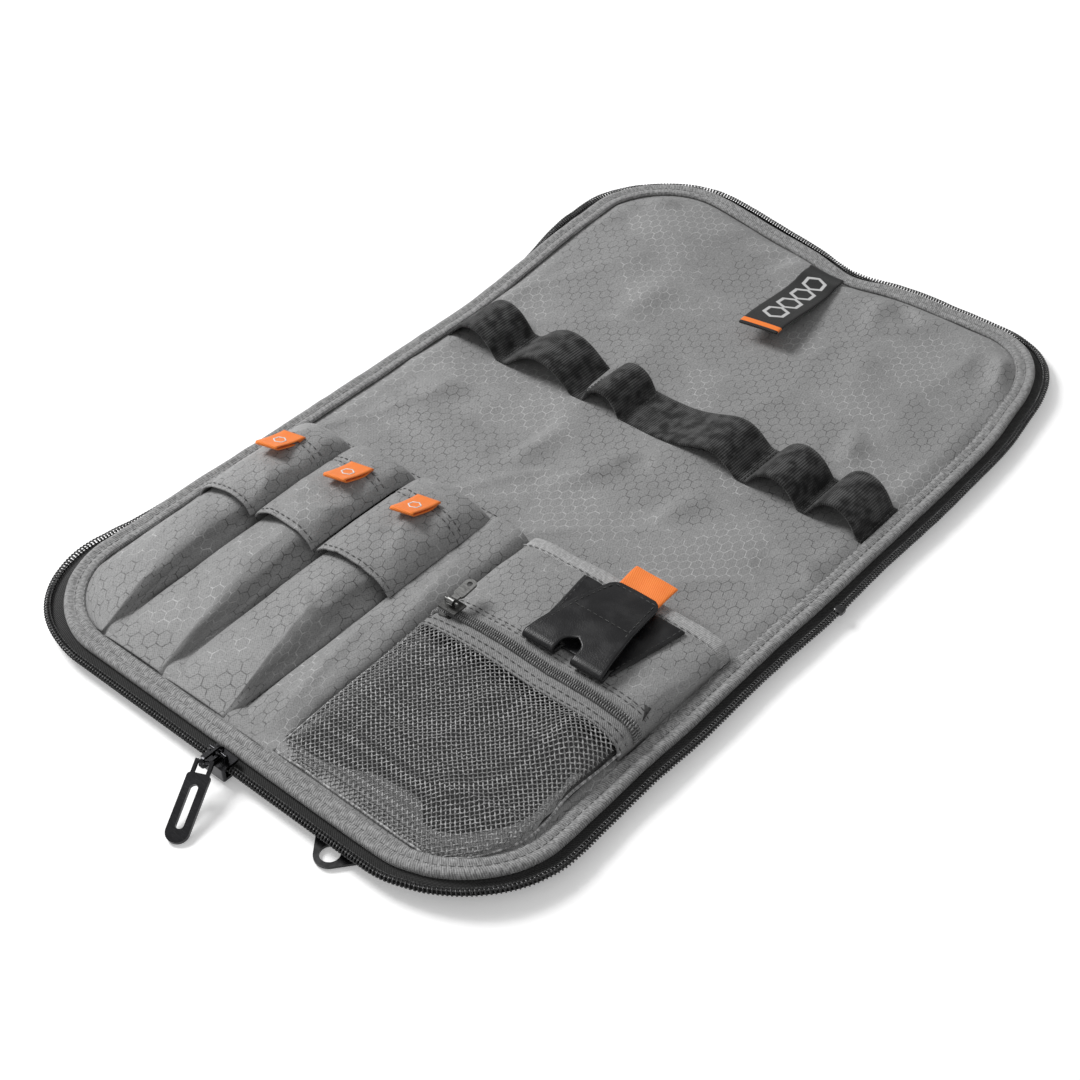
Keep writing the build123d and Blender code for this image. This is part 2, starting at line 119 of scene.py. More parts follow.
def crease(x, y, start, end, width, height):
    """A wrinkle from start to end: a soft ridge, or a valley where height is below zero."""
    a, b = np.array(start, float), np.array(end, float)
    along = b - a
    t = ((x - a[0]) * along[0] + (y - a[1]) * along[1]) / (along @ along)
    near = np.clip(t, 0, 1)
    gap = np.hypot(x - a[0] - near * along[0], y - a[1] - near * along[1])
    taper = np.sin(math.pi * near)
    return height * np.exp(-((gap / width) ** 2)) * taper


def inside(x, y):
    """How far a point lies inside the binding's outer edge."""
    qx, qy = np.abs(x) - (HALF_X - CORNER), np.abs(y) - (HALF_Y - CORNER)
    corner = np.hypot(np.maximum(qx, 0), np.maximum(qy, 0))
    return CORNER - corner - np.minimum(np.maximum(qx, qy), 0)


def half_width(y, inset):
    """Half the outline's width at y, drawn in by inset."""
    reach = CORNER - inset
    over = np.clip(np.abs(y) - (HALF_Y - CORNER), 0, reach)
    return HALF_X - CORNER + np.sqrt(reach**2 - over**2)


def warp(p):
    """The shell isn't quite flat: one far corner lifts, the other is drawn in, and a near one stands up."""
    p = np.array(p, float)
    x, y = p[..., 0].copy(), p[..., 1].copy()
    p[..., 2] += 10.5 * smooth(0, 100, -x) * smooth(35, 160, y)
    p[..., 2] += 2.6 * smooth(55, 116, x) * smooth(120, 190, -y)
    p[..., 0] -= 6.0 * smooth(50, 116, x) * bump(y, 158, 30)
    p[..., 1] -= 4.5 * bump(x, 3, 17) * smooth(155, 190, y)
    p[..., 2] -= 1.4 * bump(x, 3, 13) * smooth(176, 190, y) * (p[..., 2] > 5)
    return p


SIDE = HALF_Y - CORNER
END = 2 * (HALF_X - CORNER)
BEND = CORNER * math.pi / 2
LOOP = 4 * SIDE + 2 * END + 4 * BEND


def rim(s):
    """Places on the binding's outer edge and the outward directions there, at lengths s along it, clockwise
    from the middle of the right side."""
    s = np.asarray(s, float)
    place, out = np.zeros((len(s), 2)), np.zeros((len(s), 2))
    start, at, heading = 0.0, np.array([HALF_X, 0.0]), -math.pi / 2
    for length in (SIDE, BEND, END, BEND, 2 * SIDE, BEND, END, BEND, SIDE):
        here = (s >= start - 1e-9) & (s <= start + length + 1e-9)
        run = (s[here] - start)[:, None]
        if length == BEND:
            turn = heading - run / CORNER
            centre = at + CORNER * np.array([math.sin(heading), -math.cos(heading)])
            outward = np.hstack([-np.sin(turn), np.cos(turn)])
            place[here], out[here] = centre + CORNER * outward, outward
            heading -= math.pi / 2
            at = centre + CORNER * np.array([-math.sin(heading), math.cos(heading)])
        else:
            forward = np.array([math.cos(heading), math.sin(heading)])
            place[here] = at + run * forward
            out[here] = np.array([-forward[1], forward[0]])
            at = at + length * forward
        start += length
    return place, out


# the lengths along the rim that each part of the shell has, and its rows in y
RUNS = {
    "near": [(FOLD_REACH, LOOP / 2 - FOLD_REACH)],
    "near_fold": [(0, FOLD_REACH), (LOOP / 2 - FOLD_REACH, LOOP / 2)],
    "far_fold": [(LOOP / 2, LOOP / 2 + FOLD_REACH), (LOOP - FOLD_REACH, LOOP)],
    "far": [(LOOP / 2 + FOLD_REACH, LOOP - FOLD_REACH)],
}
ROWS = {
    "near": (-HALF_Y, -FOLD_REACH),
    "near_fold": (-FOLD_REACH, 0),
    "far_fold": (0, FOLD_REACH),
    "far": (FOLD_REACH, HALF_Y),
}


# ---------------------------------------------------------------- meshes


class Build:
    """Collects quads with a cloth UV in millimetres, and turns them into one object."""

    def __init__(self):
        self.points, self.faces, self.cloth, self.slots, self.count = [], [], [], [], 0

    def grid(self, p, uv=None, slot=0, round_j=False, caps=False):
        """A grid of points (n, m, 3), facing along i cross j. round_j joins its last column to its first."""
        p = np.asarray(p, float)
        n, m = p.shape[:2]
        if uv is None:
            uv = p[..., :2]
        index = self.count + np.arange(n * m).reshape(n, m)
        i, j = np.meshgrid(np.arange(n - 1), np.arange(m if round_j else m - 1), indexing="ij")
        j1 = (j + 1) % m
        quads = np.stack([index[i, j], index[i + 1, j], index[i + 1, j1], index[i, j1]], -1).reshape(-1, 4)
        flat = np.asarray(uv, float).reshape(-1, 2)
        corners = flat[quads - self.count].copy()
        if round_j:
            wrap = (j == m - 1).reshape(-1)
            step = flat.reshape(n, m, 2)[0, 1, 1] - flat.reshape(n, m, 2)[0, 0, 1]
            corners[wrap, 2, 1] = corners[wrap, 1, 1] + step
            corners[wrap, 3, 1] = corners[wrap, 0, 1] + step
        self.points.append(p.reshape(-1, 3))
        self.faces.extend(quads.tolist())
        self.cloth.extend(corners.reshape(-1, 2).tolist())
        self.slots.extend([slot] * len(quads))
        if caps and round_j:
            for ring, back in ((index[0], True), (index[-1], False)):
                face = ring[::-1].tolist() if back else ring.tolist()
                self.faces.append(face)
                self.cloth.extend(flat[np.array(face) - self.count].tolist())
                self.slots.append(slot)
        self.count += n * m
        return self

    def object(self, name, materials, body=None, thickness=0.0, offset=-1.0, subdivide=0, replaces=(),
               slot=None, rim=True):
        """The finished piece. Thickness is what Solidify adds behind the face, and rim closes its edges."""
        mesh = bpy.data.meshes.new(name)
        mesh.from_pydata((np.vstack(self.points) * MM).tolist(), [], self.faces)
        layer = mesh.uv_layers.new(name="cloth")
        layer.data.foreach_set("uv", np.array(self.cloth, np.float32).ravel())
        mesh.polygons.foreach_set("material_index", self.slots)
        mesh.polygons.foreach_set("use_smooth", [True] * len(mesh.polygons))
        for material in materials if isinstance(materials, (list, tuple)) else [materials]:
            mesh.materials.append(material)
        mesh.update()
        piece = bpy.data.objects.new(name, mesh)
        bpy.context.scene.collection.objects.link(piece)
        if thickness:
            solid = piece.modifiers.new("thickness", "SOLIDIFY")
            solid.thickness = thickness * MM
            solid.offset = offset
            solid.use_rim = rim
        if subdivide:
            finer = piece.modifiers.new("smooth", "SUBSURF")
            finer.levels = finer.render_levels = subdivide
        if body:
            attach(piece, body)
        if replaces:
            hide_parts(*replaces)
        return piece


def node_of(part, kind, spine=None):
    """The CAD node that a part's piece stands for: its half's, or the spine's."""
    return f"{part}_{kind}" if part in ("near", "far") else f"spine_{spine or kind}"


def follow(piece, part):
    """The piece moves with its half, or, where it crosses a fold, stays where it was made, its placement
    baked into its mesh.
    """
    if part == "near_fold":
        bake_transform(piece)
    elif part == "far_fold":
        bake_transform(piece)
    else:
        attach(piece, f"{part}_half")
    return piece


def frames(path):
    """Directions along a path of points, and two across it."""
    along = np.gradient(path, axis=0)
    along /= np.linalg.norm(along, axis=1)[:, None] + 1e-12
    side = np.cross(along, [0, 0, 1.0])
    weak = np.linalg.norm(side, axis=1) < 1e-3
    side[weak] = np.cross(along[weak], [0, 1.0, 0])
    side /= np.linalg.norm(side, axis=1)[:, None]
    return along, side, np.cross(side, along)


def tube(build, path, radius, sides=6, flat=1.0, caps=True):
    """A round or flattened thread along a path."""
    path = np.asarray(path, float)
    _, side, up = frames(path)
    turn = np.linspace(0, 2 * math.pi, sides, endpoint=False)
    radius = np.broadcast_to(radius, len(path))[:, None, None]
    ring = side[:, None] * np.cos(turn)[:, None] + up[:, None] * np.sin(turn)[:, None] * flat
    uv = np.stack(np.meshgrid(lengths(path), turn, indexing="ij"), -1)
    build.grid(path[:, None] + ring * radius, uv, round_j=True, caps=caps)


def resample(path, step):
    """Points a step apart along a path."""
    path = np.asarray(path, float)
    length = lengths(path)
    places = np.arange(step / 2, length[-1], step)
    return np.column_stack([np.interp(places, length, path[:, k]) for k in range(3)])


STITCH = 3.1  # from one stitch to the next
FINE_STITCH = dict(length=1.9, radius=0.22, step=2.7)  # the leather's


def stitch(build, path, length=2.1, radius=0.27, step=STITCH, slot=0):
    """A row of thread stitches along a path, each dipping in at its ends."""
    middles = resample(path, step)
    along, side, up = frames(middles)
    rings, turn = np.linspace(-1, 1, 6), np.linspace(0, 2 * math.pi, 6, endpoint=False)
    for c, a, s, u in zip(middles, along, side, up):
        thick = radius * np.sqrt(np.maximum(1 - rings**2 * 0.96, 0))
        core = c + np.outer(rings * length / 2, a)
        ring = np.cos(turn)[:, None] * s + np.sin(turn)[:, None] * u
        build.grid(core[:, None] + ring * thick[:, None, None], None, slot, round_j=True, caps=True)


# ---------------------------------------------------------------- materials


class Look:
    """Builds one node material in few words."""

    def __init__(self, name, rough, metal=0.0, sheen=0.0, coat=0.0, specular=0.5):
        self.material = bpy.data.materials.new(name)
        self.material.use_nodes = True
        self.nodes, self.links = self.material.node_tree.nodes, self.material.node_tree.links
        self.shader = self.nodes["Principled BSDF"]
        self.shader.inputs["Roughness"].default_value = rough
        self.shader.inputs["Metallic"].default_value = metal
        self.shader.inputs["Sheen Weight"].default_value = sheen
        self.shader.inputs["Sheen Roughness"].default_value = 0.4
        self.shader.inputs["Coat Weight"].default_value = coat
        self.shader.inputs["Coat Roughness"].default_value = 0.2
        self.shader.inputs["Specular IOR Level"].default_value = specular
        uv = self.nodes.new("ShaderNodeUVMap")
        uv.uv_map = "cloth"
        self.uv = uv.outputs[0]

    def solid(self):
        """Uses the object's own coordinates, for CAD nodes, in millimetres."""
        place = self.nodes.new("ShaderNodeTexCoord").outputs["Object"]
        self.uv = self.vector("MULTIPLY", place, (1 / MM,) * 3)
        return self

    def put(self, socket, value):
        if hasattr(value, "is_output"):
            self.links.new(value, socket)
        elif value is not None:
            socket.default_value = value

    def math(self, kind, a, b=None, c=None):
        node = self.nodes.new("ShaderNodeMath")
        node.operation = kind
        for socket, value in zip(node.inputs, (a, b, c)):
            self.put(socket, value)
        return node.outputs[0]

    def vector(self, kind, a, b=None, c=None):
        node = self.nodes.new("ShaderNodeVectorMath")
        node.operation = kind
        for socket, value in zip(node.inputs, (a, b, c)):
            self.put(socket, value)
        return node.outputs["Value" if kind in ("LENGTH", "DOT_PRODUCT") else "Vector"]

    def split(self, vector):
        node = self.nodes.new("ShaderNodeSeparateXYZ")
        self.put(node.inputs[0], vector)
        return node.outputs

    def range(self, value, a, b, c=0.0, d=1.0):
        node = self.nodes.new("ShaderNodeMapRange")
        node.interpolation_type = "SMOOTHSTEP"
        for socket, given in zip(node.inputs, (value, a, b, c, d)):
            self.put(socket, given)
        return node.outputs[0]

    def mix(self, share, a, b):
        node = self.nodes.new("ShaderNodeMix")
        node.data_type = "RGBA"
        self.put(node.inputs["Factor"], share)
        self.put(node.inputs[6], a)
        self.put(node.inputs[7], b)
        return node.outputs[2]

    def noise(self, scale, detail=3.0, stretch=None, rough=0.55):
        """Noise with this many lumps per millimetre."""
        node = self.nodes.new("ShaderNodeTexNoise")
        place = self.uv if stretch is None else self.vector("MULTIPLY", self.uv, (*stretch, 1))
        self.put(node.inputs["Vector"], place)
        node.inputs["Scale"].default_value = scale
        node.inputs["Detail"].default_value = detail
        node.inputs["Roughness"].default_value = rough
        return node.outputs[0]

    def cells(self, scale, kind="F1"):
        node = self.nodes.new("ShaderNodeTexVoronoi")
        node.feature = kind
        self.put(node.inputs["Vector"], self.uv)
        node.inputs["Scale"].default_value = scale
        return node.outputs[0]

    def wave(self, value, pitch, phase=0.0):
        """0 to 1 and back in each pitch."""
        turned = self.math("MULTIPLY_ADD", value, 2 * math.pi / pitch, phase)
        return self.math("MULTIPLY_ADD", self.math("SINE", turned), 0.5, 0.5)

    def weave(self, pitch_u, pitch_v):
        """A plain weave: threads over and under."""
        u, v, _ = self.split(self.uv)
        over = self.math("SINE", self.math("MULTIPLY", u, math.pi / pitch_u))
        under = self.math("SINE", self.math("MULTIPLY", v, math.pi / pitch_v))
        return self.math("MULTIPLY_ADD", self.math("MULTIPLY", over, under), 0.5, 0.5)

    def colour(self, value):
        self.put(self.shader.inputs["Base Color"], value)
        return self

    def relief(self, height, depth, strength=1.0, before=None):
        """Bump of this depth in millimetres."""
        node = self.nodes.new("ShaderNodeBump")
        node.inputs["Strength"].default_value = strength
        node.inputs["Distance"].default_value = depth * MM
        self.put(node.inputs["Height"], height)
        if before is not None:
            self.put(node.inputs["Normal"], before)
        self.links.new(node.outputs[0], self.shader.inputs["Normal"])
        return node.outputs[0]

    def roughness(self, value):
        self.put(self.shader.inputs["Roughness"], value)
        return self


def grey(value, warm=0.0):
    """A linear colour from an sRGB grey of 0 to 255."""
    level = (value / 255) ** 2.2
    return (level * (1 + warm), level, level * (1 - warm), 1)


HEX_PITCH = 5.8  # from one cell to the next, along the pouch
HEX_SQUEEZE = 0.637  # the cells are narrower across it
HEX_LINE = 0.31


def honeycomb():
    """Grey ripstop: fine weave with a grid of squeezed hexagons. The hexagon lines carry painted sheen: pale
    patches and flecks where light would catch them, dark grey elsewhere.
    """
    look = Look("lining_ripstop", 0.62, sheen=0.25, specular=0.35)
    side = HEX_PITCH / math.sqrt(3)
    step = (3 * side, HEX_PITCH, 1)
    place = look.vector("MULTIPLY", look.uv, (1 / HEX_SQUEEZE, 1, 1))
    place = look.vector("ADD", place, (0.11, 0.23, 0.3))
    half = tuple(v / 2 for v in step)
    back = tuple(-v for v in half)
    first = look.vector("WRAP", place, half, back)
    second = look.vector("WRAP", look.vector("ADD", place, half), half, back)
    flat = (1, 1, 0)
    first, second = look.vector("MULTIPLY", first, flat), look.vector("MULTIPLY", second, flat)
    nearer = look.math("LESS_THAN", look.vector("LENGTH", second), look.vector("LENGTH", first))
    node = look.nodes.new("ShaderNodeMix")
    node.data_type = "VECTOR"
    look.put(node.inputs["Factor"], nearer)
    look.put(node.inputs[4], first)
    look.put(node.inputs[5], second)
    x, y, _ = look.split(look.vector("ABSOLUTE", node.outputs[1]))
    slanted = look.math("ADD", look.math("MULTIPLY", x, math.sqrt(3) / 2), look.math("MULTIPLY", y, 0.5))
    edge = look.math("SUBTRACT", HEX_PITCH / 2, look.math("MAXIMUM", slanted, y))
    line = look.range(edge, HEX_LINE * 0.35, HEX_LINE, 1.0, 0.0)
    threads = look.range(look.noise(0.9, 2.0), 0.4, 0.62)
    ground = look.mix(look.range(look.noise(0.03, 2.0), 0.3, 0.7), grey(144), grey(151))
    grain = look.math("MULTIPLY", look.weave(0.45, 0.45), look.range(look.noise(1.4, 2.0), 0.3, 0.7))
    fine = look.mix(grain, ground, grey(104))
    # painted sheen: pale patches and flecks on the hexagon lines stand in for light catching the threads
    patches = look.range(look.noise(0.022, 4.0), 0.47, 0.58)
    sheen_flecks = look.range(look.noise(0.22, 3.0), 0.50, 0.58)
    painted_sheen = look.math("MULTIPLY_ADD", sheen_flecks, 0.35, look.math("MULTIPLY", patches, 0.75))
    # the hexagon lines' colour, painted light: pale grey where the sheen is painted, dark grey elsewhere
    light = look.mix(painted_sheen, grey(76), grey(196))
    shown = look.math("MULTIPLY", line, look.math("MULTIPLY_ADD", threads, 0.4, 0.5))
    look.colour(look.mix(shown, fine, light))
    soft = look.relief(look.noise(0.09, 4.0), 0.5, 0.45)
    woven = look.relief(look.weave(0.45, 0.45), 0.05, 0.5, soft)
    look.relief(line, 0.09, 0.7, woven)
    return look.material


def cloth(name, dark, light, pitch, depth=0.12, rough=0.8, sheen=0.3, lumps=0.35):
    """A plain woven cloth with uneven threads."""
    look = Look(name, rough, sheen=sheen, specular=0.3)
    thread = look.weave(*pitch)
    uneven = look.noise(lumps, 4.0)
    share = look.math("MULTIPLY_ADD", thread, 0.55, look.math("MULTIPLY", uneven, 0.55))
    look.colour(look.mix(share, dark, light))
    look.relief(look.math("MULTIPLY_ADD", uneven, 0.5, thread), depth, 0.8)
    return look.material


def ribbed(name, dark, light, pitch, depth=0.14, rough=0.75, sheen=0.35, slant=0.0, heather=0.5):
    """A tape with ribs across it, each rib a row of small heathered threads."""
    look = Look(name, rough, sheen=sheen, specular=0.3)
    u, v, _ = look.split(look.uv)
    leaning = look.math("MULTIPLY_ADD", v, slant, u)
    rib = look.wave(leaning, pitch)
    beads = look.wave(v, pitch * 0.8)
    speckle = look.range(look.noise(1.1, 3.0, (1.0, 0.45)), 0.35, 0.68)
    broad = look.noise(0.06, 2.0)
    share = look.math("MULTIPLY_ADD", rib, 0.5, look.math("MULTIPLY", speckle, heather))
    share = look.math("ADD", share, look.math("MULTIPLY_ADD", broad, 0.3, -0.15))
    look.colour(look.mix(share, dark, light))
    height = look.math("MULTIPLY_ADD", beads, 0.35, look.math("MULTIPLY_ADD", speckle, 0.3, rib))
    look.relief(height, depth, 0.9)
    return look.material


def metal(name, colour, rough, brushed=0.12):
    """Cast metal with faint scratches."""
    look = Look(name, rough, metal=1.0).solid()
    scratch = look.noise(1.2, 3.0, (0.5, 2.0))
    spots = look.noise(0.25, 3.0)
    dull = tuple(c * 0.8 for c in colour[:3]) + (1,)
    look.colour(look.mix(look.range(spots, 0.3, 0.75), colour, dull))
    look.roughness(look.range(look.math("MULTIPLY_ADD", scratch, 0.5, look.math("MULTIPLY", spots, 0.5)),
                              0.25, 0.75, max(rough - brushed, 0.05), rough + brushed))
    look.relief(scratch, 0.006, 0.3)
    return look.material


def gloss(name, colour, rough, depth=0.01, coat=0.5):
    """Smooth moulded nylon or lacquer."""
    look = Look(name, rough, coat=coat, specular=0.4).solid()
    worn = look.noise(0.4, 4.0)
    lighter = tuple(min(c * 1.9 + 0.01, 1) for c in colour[:3]) + (1,)
    look.colour(look.mix(look.range(worn, 0.45, 0.8), colour, lighter))
    look.roughness(look.range(worn, 0.3, 0.8, rough, rough + 0.16))
    look.relief(worn, depth, 0.3)
    return look.material


def leather():
    """Black leather: pebbled grain, paler where it bends."""
    look = Look("keeper_leather", 0.5, specular=0.5)
    grain = look.cells(1.15, "DISTANCE_TO_EDGE")
    pebble = look.range(grain, 0.0, 0.28)
    creases = look.noise(0.12, 5.0)
    look.colour(look.mix(look.range(creases, 0.4, 0.75), (0.005, 0.005, 0.006, 1), (0.014, 0.014, 0.015, 1)))
    look.roughness(look.range(creases, 0.3, 0.8, 0.34, 0.5))
    under = look.relief(creases, 0.25, 0.25)
    look.relief(pebble, 0.05, 0.4, under)
    return look.material


def elastic_cloth():
    """Black elastic: cross ribs with mottled checks."""
    look = Look("elastic_webbing", 0.8, sheen=0.2, specular=0.3)
    u, v, _ = look.split(look.uv)
    rib, row = look.wave(u, 1.0), look.wave(v, 1.0)
    check = look.range(look.noise(0.2, 2.0, (1.0, 0.8)), 0.34, 0.66)
    ribs, rows = look.math("MULTIPLY_ADD", rib, 0.7, 0.3), look.math("MULTIPLY_ADD", row, 0.4, 0.6)
    share = look.math("MULTIPLY", ribs, rows)
    look.colour(look.mix(look.math("MULTIPLY", share, check), grey(26), grey(92)))
    look.relief(look.math("MULTIPLY_ADD", row, 0.3, rib), 0.2, 0.8)
    return look.material


def label_cloth():
    """Black woven label with an orange end and a plain row of motifs along it. u runs from the root."""
    look = Look("label_weave", 0.7, sheen=0.2, specular=0.35)
    u, v, _ = look.split(look.uv)
    twill = look.wave(look.math("ADD", u, v), 0.8)
    black = look.mix(twill, grey(24), grey(48))
    orange = look.mix(twill, (0.9, 0.17, 0.018, 1), (1.0, 0.28, 0.04, 1))
    size, gap = 9.0, 12.0
    first, last = 8.0, 56.0
    local = look.math("WRAP", look.math("SUBTRACT", u, first + gap / 2), gap / 2, -gap / 2)
    across = look.math("ABSOLUTE", v)
    along = look.math("ABSOLUTE", local)
    slant = look.math("MULTIPLY_ADD", along, math.sqrt(3) / 2, look.math("MULTIPLY", across, 0.5))
    reach = look.math("MAXIMUM", slant, across)
    ring = look.math("ABSOLUTE", look.math("SUBTRACT", reach, size / 2))
    motif = look.range(ring, 0.65, 0.9, 1.0, 0.0)
    here = look.math("MULTIPLY", look.math("GREATER_THAN", u, first), look.math("LESS_THAN", u, last))
    look_black = look.mix(look.math("MULTIPLY", motif, here), black, grey(196))
    end = look.math("MULTIPLY", look.math("GREATER_THAN", u, 61.5), look.math("LESS_THAN", u, 64.6))
    look.colour(look.mix(end, look_black, orange))
    look.relief(twill, 0.1, 0.7)
    return look.material


def ribbon_cloth():
    """Orange twill ribbon with pale selvedges."""
    look = Look("orange_twill", 0.6, sheen=0.3, specular=0.35)
    u, v, _ = look.split(look.uv)
    twill = look.wave(look.math("MULTIPLY_ADD", u, 0.7, v), 0.75)
    uneven = look.noise(0.25, 3.0)
    share = look.math("MULTIPLY_ADD", twill, 0.5, look.math("MULTIPLY", uneven, 0.5))
    look.colour(look.mix(share, (0.92, 0.17, 0.018, 1), (1.0, 0.30, 0.045, 1)))
    look.relief(twill, 0.1, 0.8)
    return look.material


def yarn(name, dark, light, rough=0.6):
    """Twisted thread."""
    look = Look(name, rough, sheen=0.2)
    u, v, _ = look.split(look.uv)
    twist = look.wave(look.math("MULTIPLY_ADD", v, 0.35, u), 0.55)
    fleck = look.range(look.noise(0.7, 2.0, (1, 0.2)), 0.4, 0.66)
    share = look.math("MULTIPLY_ADD", twist, 0.35, look.math("MULTIPLY", fleck, 0.65))
    look.colour(look.mix(share, dark, light))
    look.relief(twist, 0.08, 0.7)
    return look.material


def fuzzy(name, dark, light):
    """Hook and loop: a pile of tiny loops."""
    look = Look(name, 0.9, sheen=0.5)
    pile = look.cells(1.6)
    look.colour(look.mix(look.range(pile, 0.1, 0.6), light, dark))
    look.relief(look.math("SUBTRACT", 1.0, pile), 0.3, 0.9)
    return look.material


def foam_look(name, dark, light, scale):
    """Cut foam or pressed board, hidden inside."""
    look = Look(name, 0.9).solid()
    pores = look.cells(scale)
    look.colour(look.mix(look.range(pores, 0.1, 0.6), light, dark))
    look.relief(pores, 0.2, 0.8)
    return look.material


def floor_look():
    look = Look("studio_floor", 0.8, specular=0.2).solid()
    look.colour(look.mix(look.noise(0.01, 2.0), (0.93, 0.93, 0.93, 1), (0.95, 0.95, 0.95, 1)))
    look.shader.inputs["Emission Color"].default_value = (1, 1, 1, 1)
    look.shader.inputs["Emission Strength"].default_value = 0.26
    return look.material


LINING_CLOTH = honeycomb()
BINDING_TAPE = ribbed("binding_tape", grey(96), grey(170), 0.85, depth=0.10, heather=0.62, slant=0.25)
MOUTH_TAPE = ribbed("mouth_tape", grey(128), grey(190), 0.7, depth=0.07, heather=0.45, slant=0.2)
COVER_CLOTH = cloth("cover_oxford", grey(28), grey(60), (0.8, 0.8), depth=0.15, lumps=0.2)
TAPE_CLOTH = ribbed("zip_tape_cloth", grey(22), grey(60), 0.9, slant=0.8, heather=0.25)
COIL_NYLON = gloss("coil_nylon", (0.014, 0.014, 0.015, 1), 0.24)
GUNMETAL = metal("gunmetal", (0.05, 0.05, 0.053, 1), 0.24, brushed=0.06)
SILVER = metal("silver", (0.24, 0.24, 0.235, 1), 0.34)
BLACK_METAL = gloss("black_lacquer", (0.006, 0.006, 0.007, 1), 0.3, coat=0.0)
WEBBING = ribbed("webbing_black", grey(22), grey(62), 1.1, depth=0.2, slant=0.6, heather=0.25)
RIBBON = ribbon_cloth()
LEATHER = leather()
# the grey lining again, painted dark as painted shade: the divider lies in shadow inside the netted pocket
SHADED_LINING_CLOTH = cloth("pocket_inside_shaded", grey(44), grey(78), (0.9, 0.9), depth=0.1)
# dark grey twisted net yarn; its pale twists and flecks are partly the yarn's tone and partly painted glints
NET_YARN_AND_GLINTS = yarn("net_yarn", grey(78), grey(205), rough=0.45)
THREAD = yarn("grey_thread", grey(96), grey(176))
DARK_THREAD = yarn("black_thread", grey(26), grey(84))
SEAM_THREAD = yarn("seam_thread", grey(50), grey(104))
WHITE_THREAD = yarn("white_thread", grey(214), grey(250))
POCKET_TAPE = ribbed("pocket_zip_tape", grey(112), grey(160), 0.8, heather=0.4, slant=0.7)
POCKET_COIL = gloss("pocket_coil", grey(118), 0.35)
HOOK_LOOP = fuzzy("hook_loop_pile", grey(40), grey(110))
ELASTIC = elastic_cloth()
LABEL = label_cloth()
FOAM = foam_look("pad_foam", grey(60), grey(96), 0.9)
BOARD = foam_look("stiff_board", grey(150), grey(176), 0.3)


# ---------------------------------------------------------------- camera and light


def place_camera():
    """The camera stands to the right of the near end and looks down at the pouch."""
    eye, target = Vector((0.36353, -0.43007, 0.46819)), Vector((0.00807, -0.03631, 0.0))
    back = (eye - target).normalized()
    right = Vector((0, 0, 1)).cross(back).normalized()
    up = back.cross(right)
    roll = math.radians(-1.641)
    turned_right = right * math.cos(roll) + up * math.sin(roll)
    turned_up = up * math.cos(roll) - right * math.sin(roll)
    lens = bpy.data.cameras.new("camera")
    lens.lens, lens.sensor_width = 61.0, 36.0
    lens.clip_start, lens.clip_end = 0.02, 20.0
    camera = bpy.data.objects.new("camera", lens)
    rotation = Matrix((turned_right, turned_up, back)).transposed().to_4x4()
    camera.matrix_world = Matrix.Translation(eye) @ rotation
    bpy.context.scene.collection.objects.link(camera)
    bpy.context.scene.camera = camera


def area_light(name, place, size, power, target=(0, 0, 0)):
    light = bpy.data.lights.new(name, "AREA")
    light.shape, light.size, light.energy = "DISK", size, power
    lamp = bpy.data.objects.new(name, light)
    aim = (Vector(place) - Vector(target)).to_track_quat("Z", "Y")
    lamp.matrix_world = Matrix.Translation(place) @ aim.to_matrix().to_4x4()
    bpy.context.scene.collection.objects.link(lamp)


def studio():
    scene = bpy.context.scene
    scene.view_settings.view_transform = "Standard"
    world = bpy.data.worlds.new("studio")
    scene.world = world
    world.use_nodes = True
    background = world.node_tree.nodes["Background"]
    background.inputs[0].default_value = (1, 1, 1, 1)
    background.inputs[1].default_value = 0.32
    area_light("key", (-1.15, -0.1, 1.15), 0.7, 24)
    area_light("fill", (1.0, -0.2, 1.2), 1.2, 1.5)
    area_light("front", (0.1, -1.3, 1.0), 0.9, 1.6)
    mesh = bpy.data.meshes.new("floor")
    reach = 6.0
    corners = [(-reach, -reach, 0), (reach, -reach, 0), (reach, reach, 0), (-reach, reach, 0)]
    mesh.from_pydata(corners, [], [(0, 1, 2, 3)])
    mesh.materials.append(floor_look())
    floor = bpy.data.objects.new("floor", mesh)
    scene.collection.objects.link(floor)


# ---------------------------------------------------------------- the shell

LINING_INSET = 5.5  # the lining runs this far in under the binding
# each wrinkle's start and end, its width, and its height: below zero for a valley
WRINKLES = (
    ((-35, -20), (-35, 26), 4.0, -1.5),
    ((-27, -18), (-25, 22), 5.0, 1.1),
    ((6, 13), (17, 23), 3.0, -1.3),
    ((-8, -18), (12, 22), 5.0, 1.5),
    ((-62, -10), (-58, 24), 6.0, 0.9),
    ((-96, -6), (-70, 12), 5.0, 1.0),
    ((38, -8), (47, 22), 5.0, 1.1),
    ((28, -22), (36, 12), 3.5, -1.0),
    ((82, 0), (107, 3), 3.5, -1.3),
    ((84, 8), (106, 12), 4.0, 0.9),
    ((-50, 124), (-57, 86), 6.0, 1.2),
    ((-72, 150), (-62, 110), 7.0, -0.9),
    ((67, 94), (78, 68), 4.5, 1.4),
    ((60, 92), (70, 66), 3.5, -1.0),
    ((40, 150), (52, 110), 7.0, 0.9),
    ((30, 182), (47, 166), 3.5, -1.6),
    ((24, 178), (34, 150), 4.0, 1.1),
    ((-24, 182), (-34, 160), 3.5, -1.4),
    ((91, 175), (103, 151), 3.5, 1.7),
    ((84, 170), (95, 146), 3.5, -1.2),
    ((-98, 160), (-84, 172), 4.0, 1.4),
    ((-104, 120), (-92, 150), 4.0, -1.1),
    ((-107, -17), (-47, -6), 4.0, 1.0),
    ((-104, -26), (-50, -30), 5.0, -0.8),
)


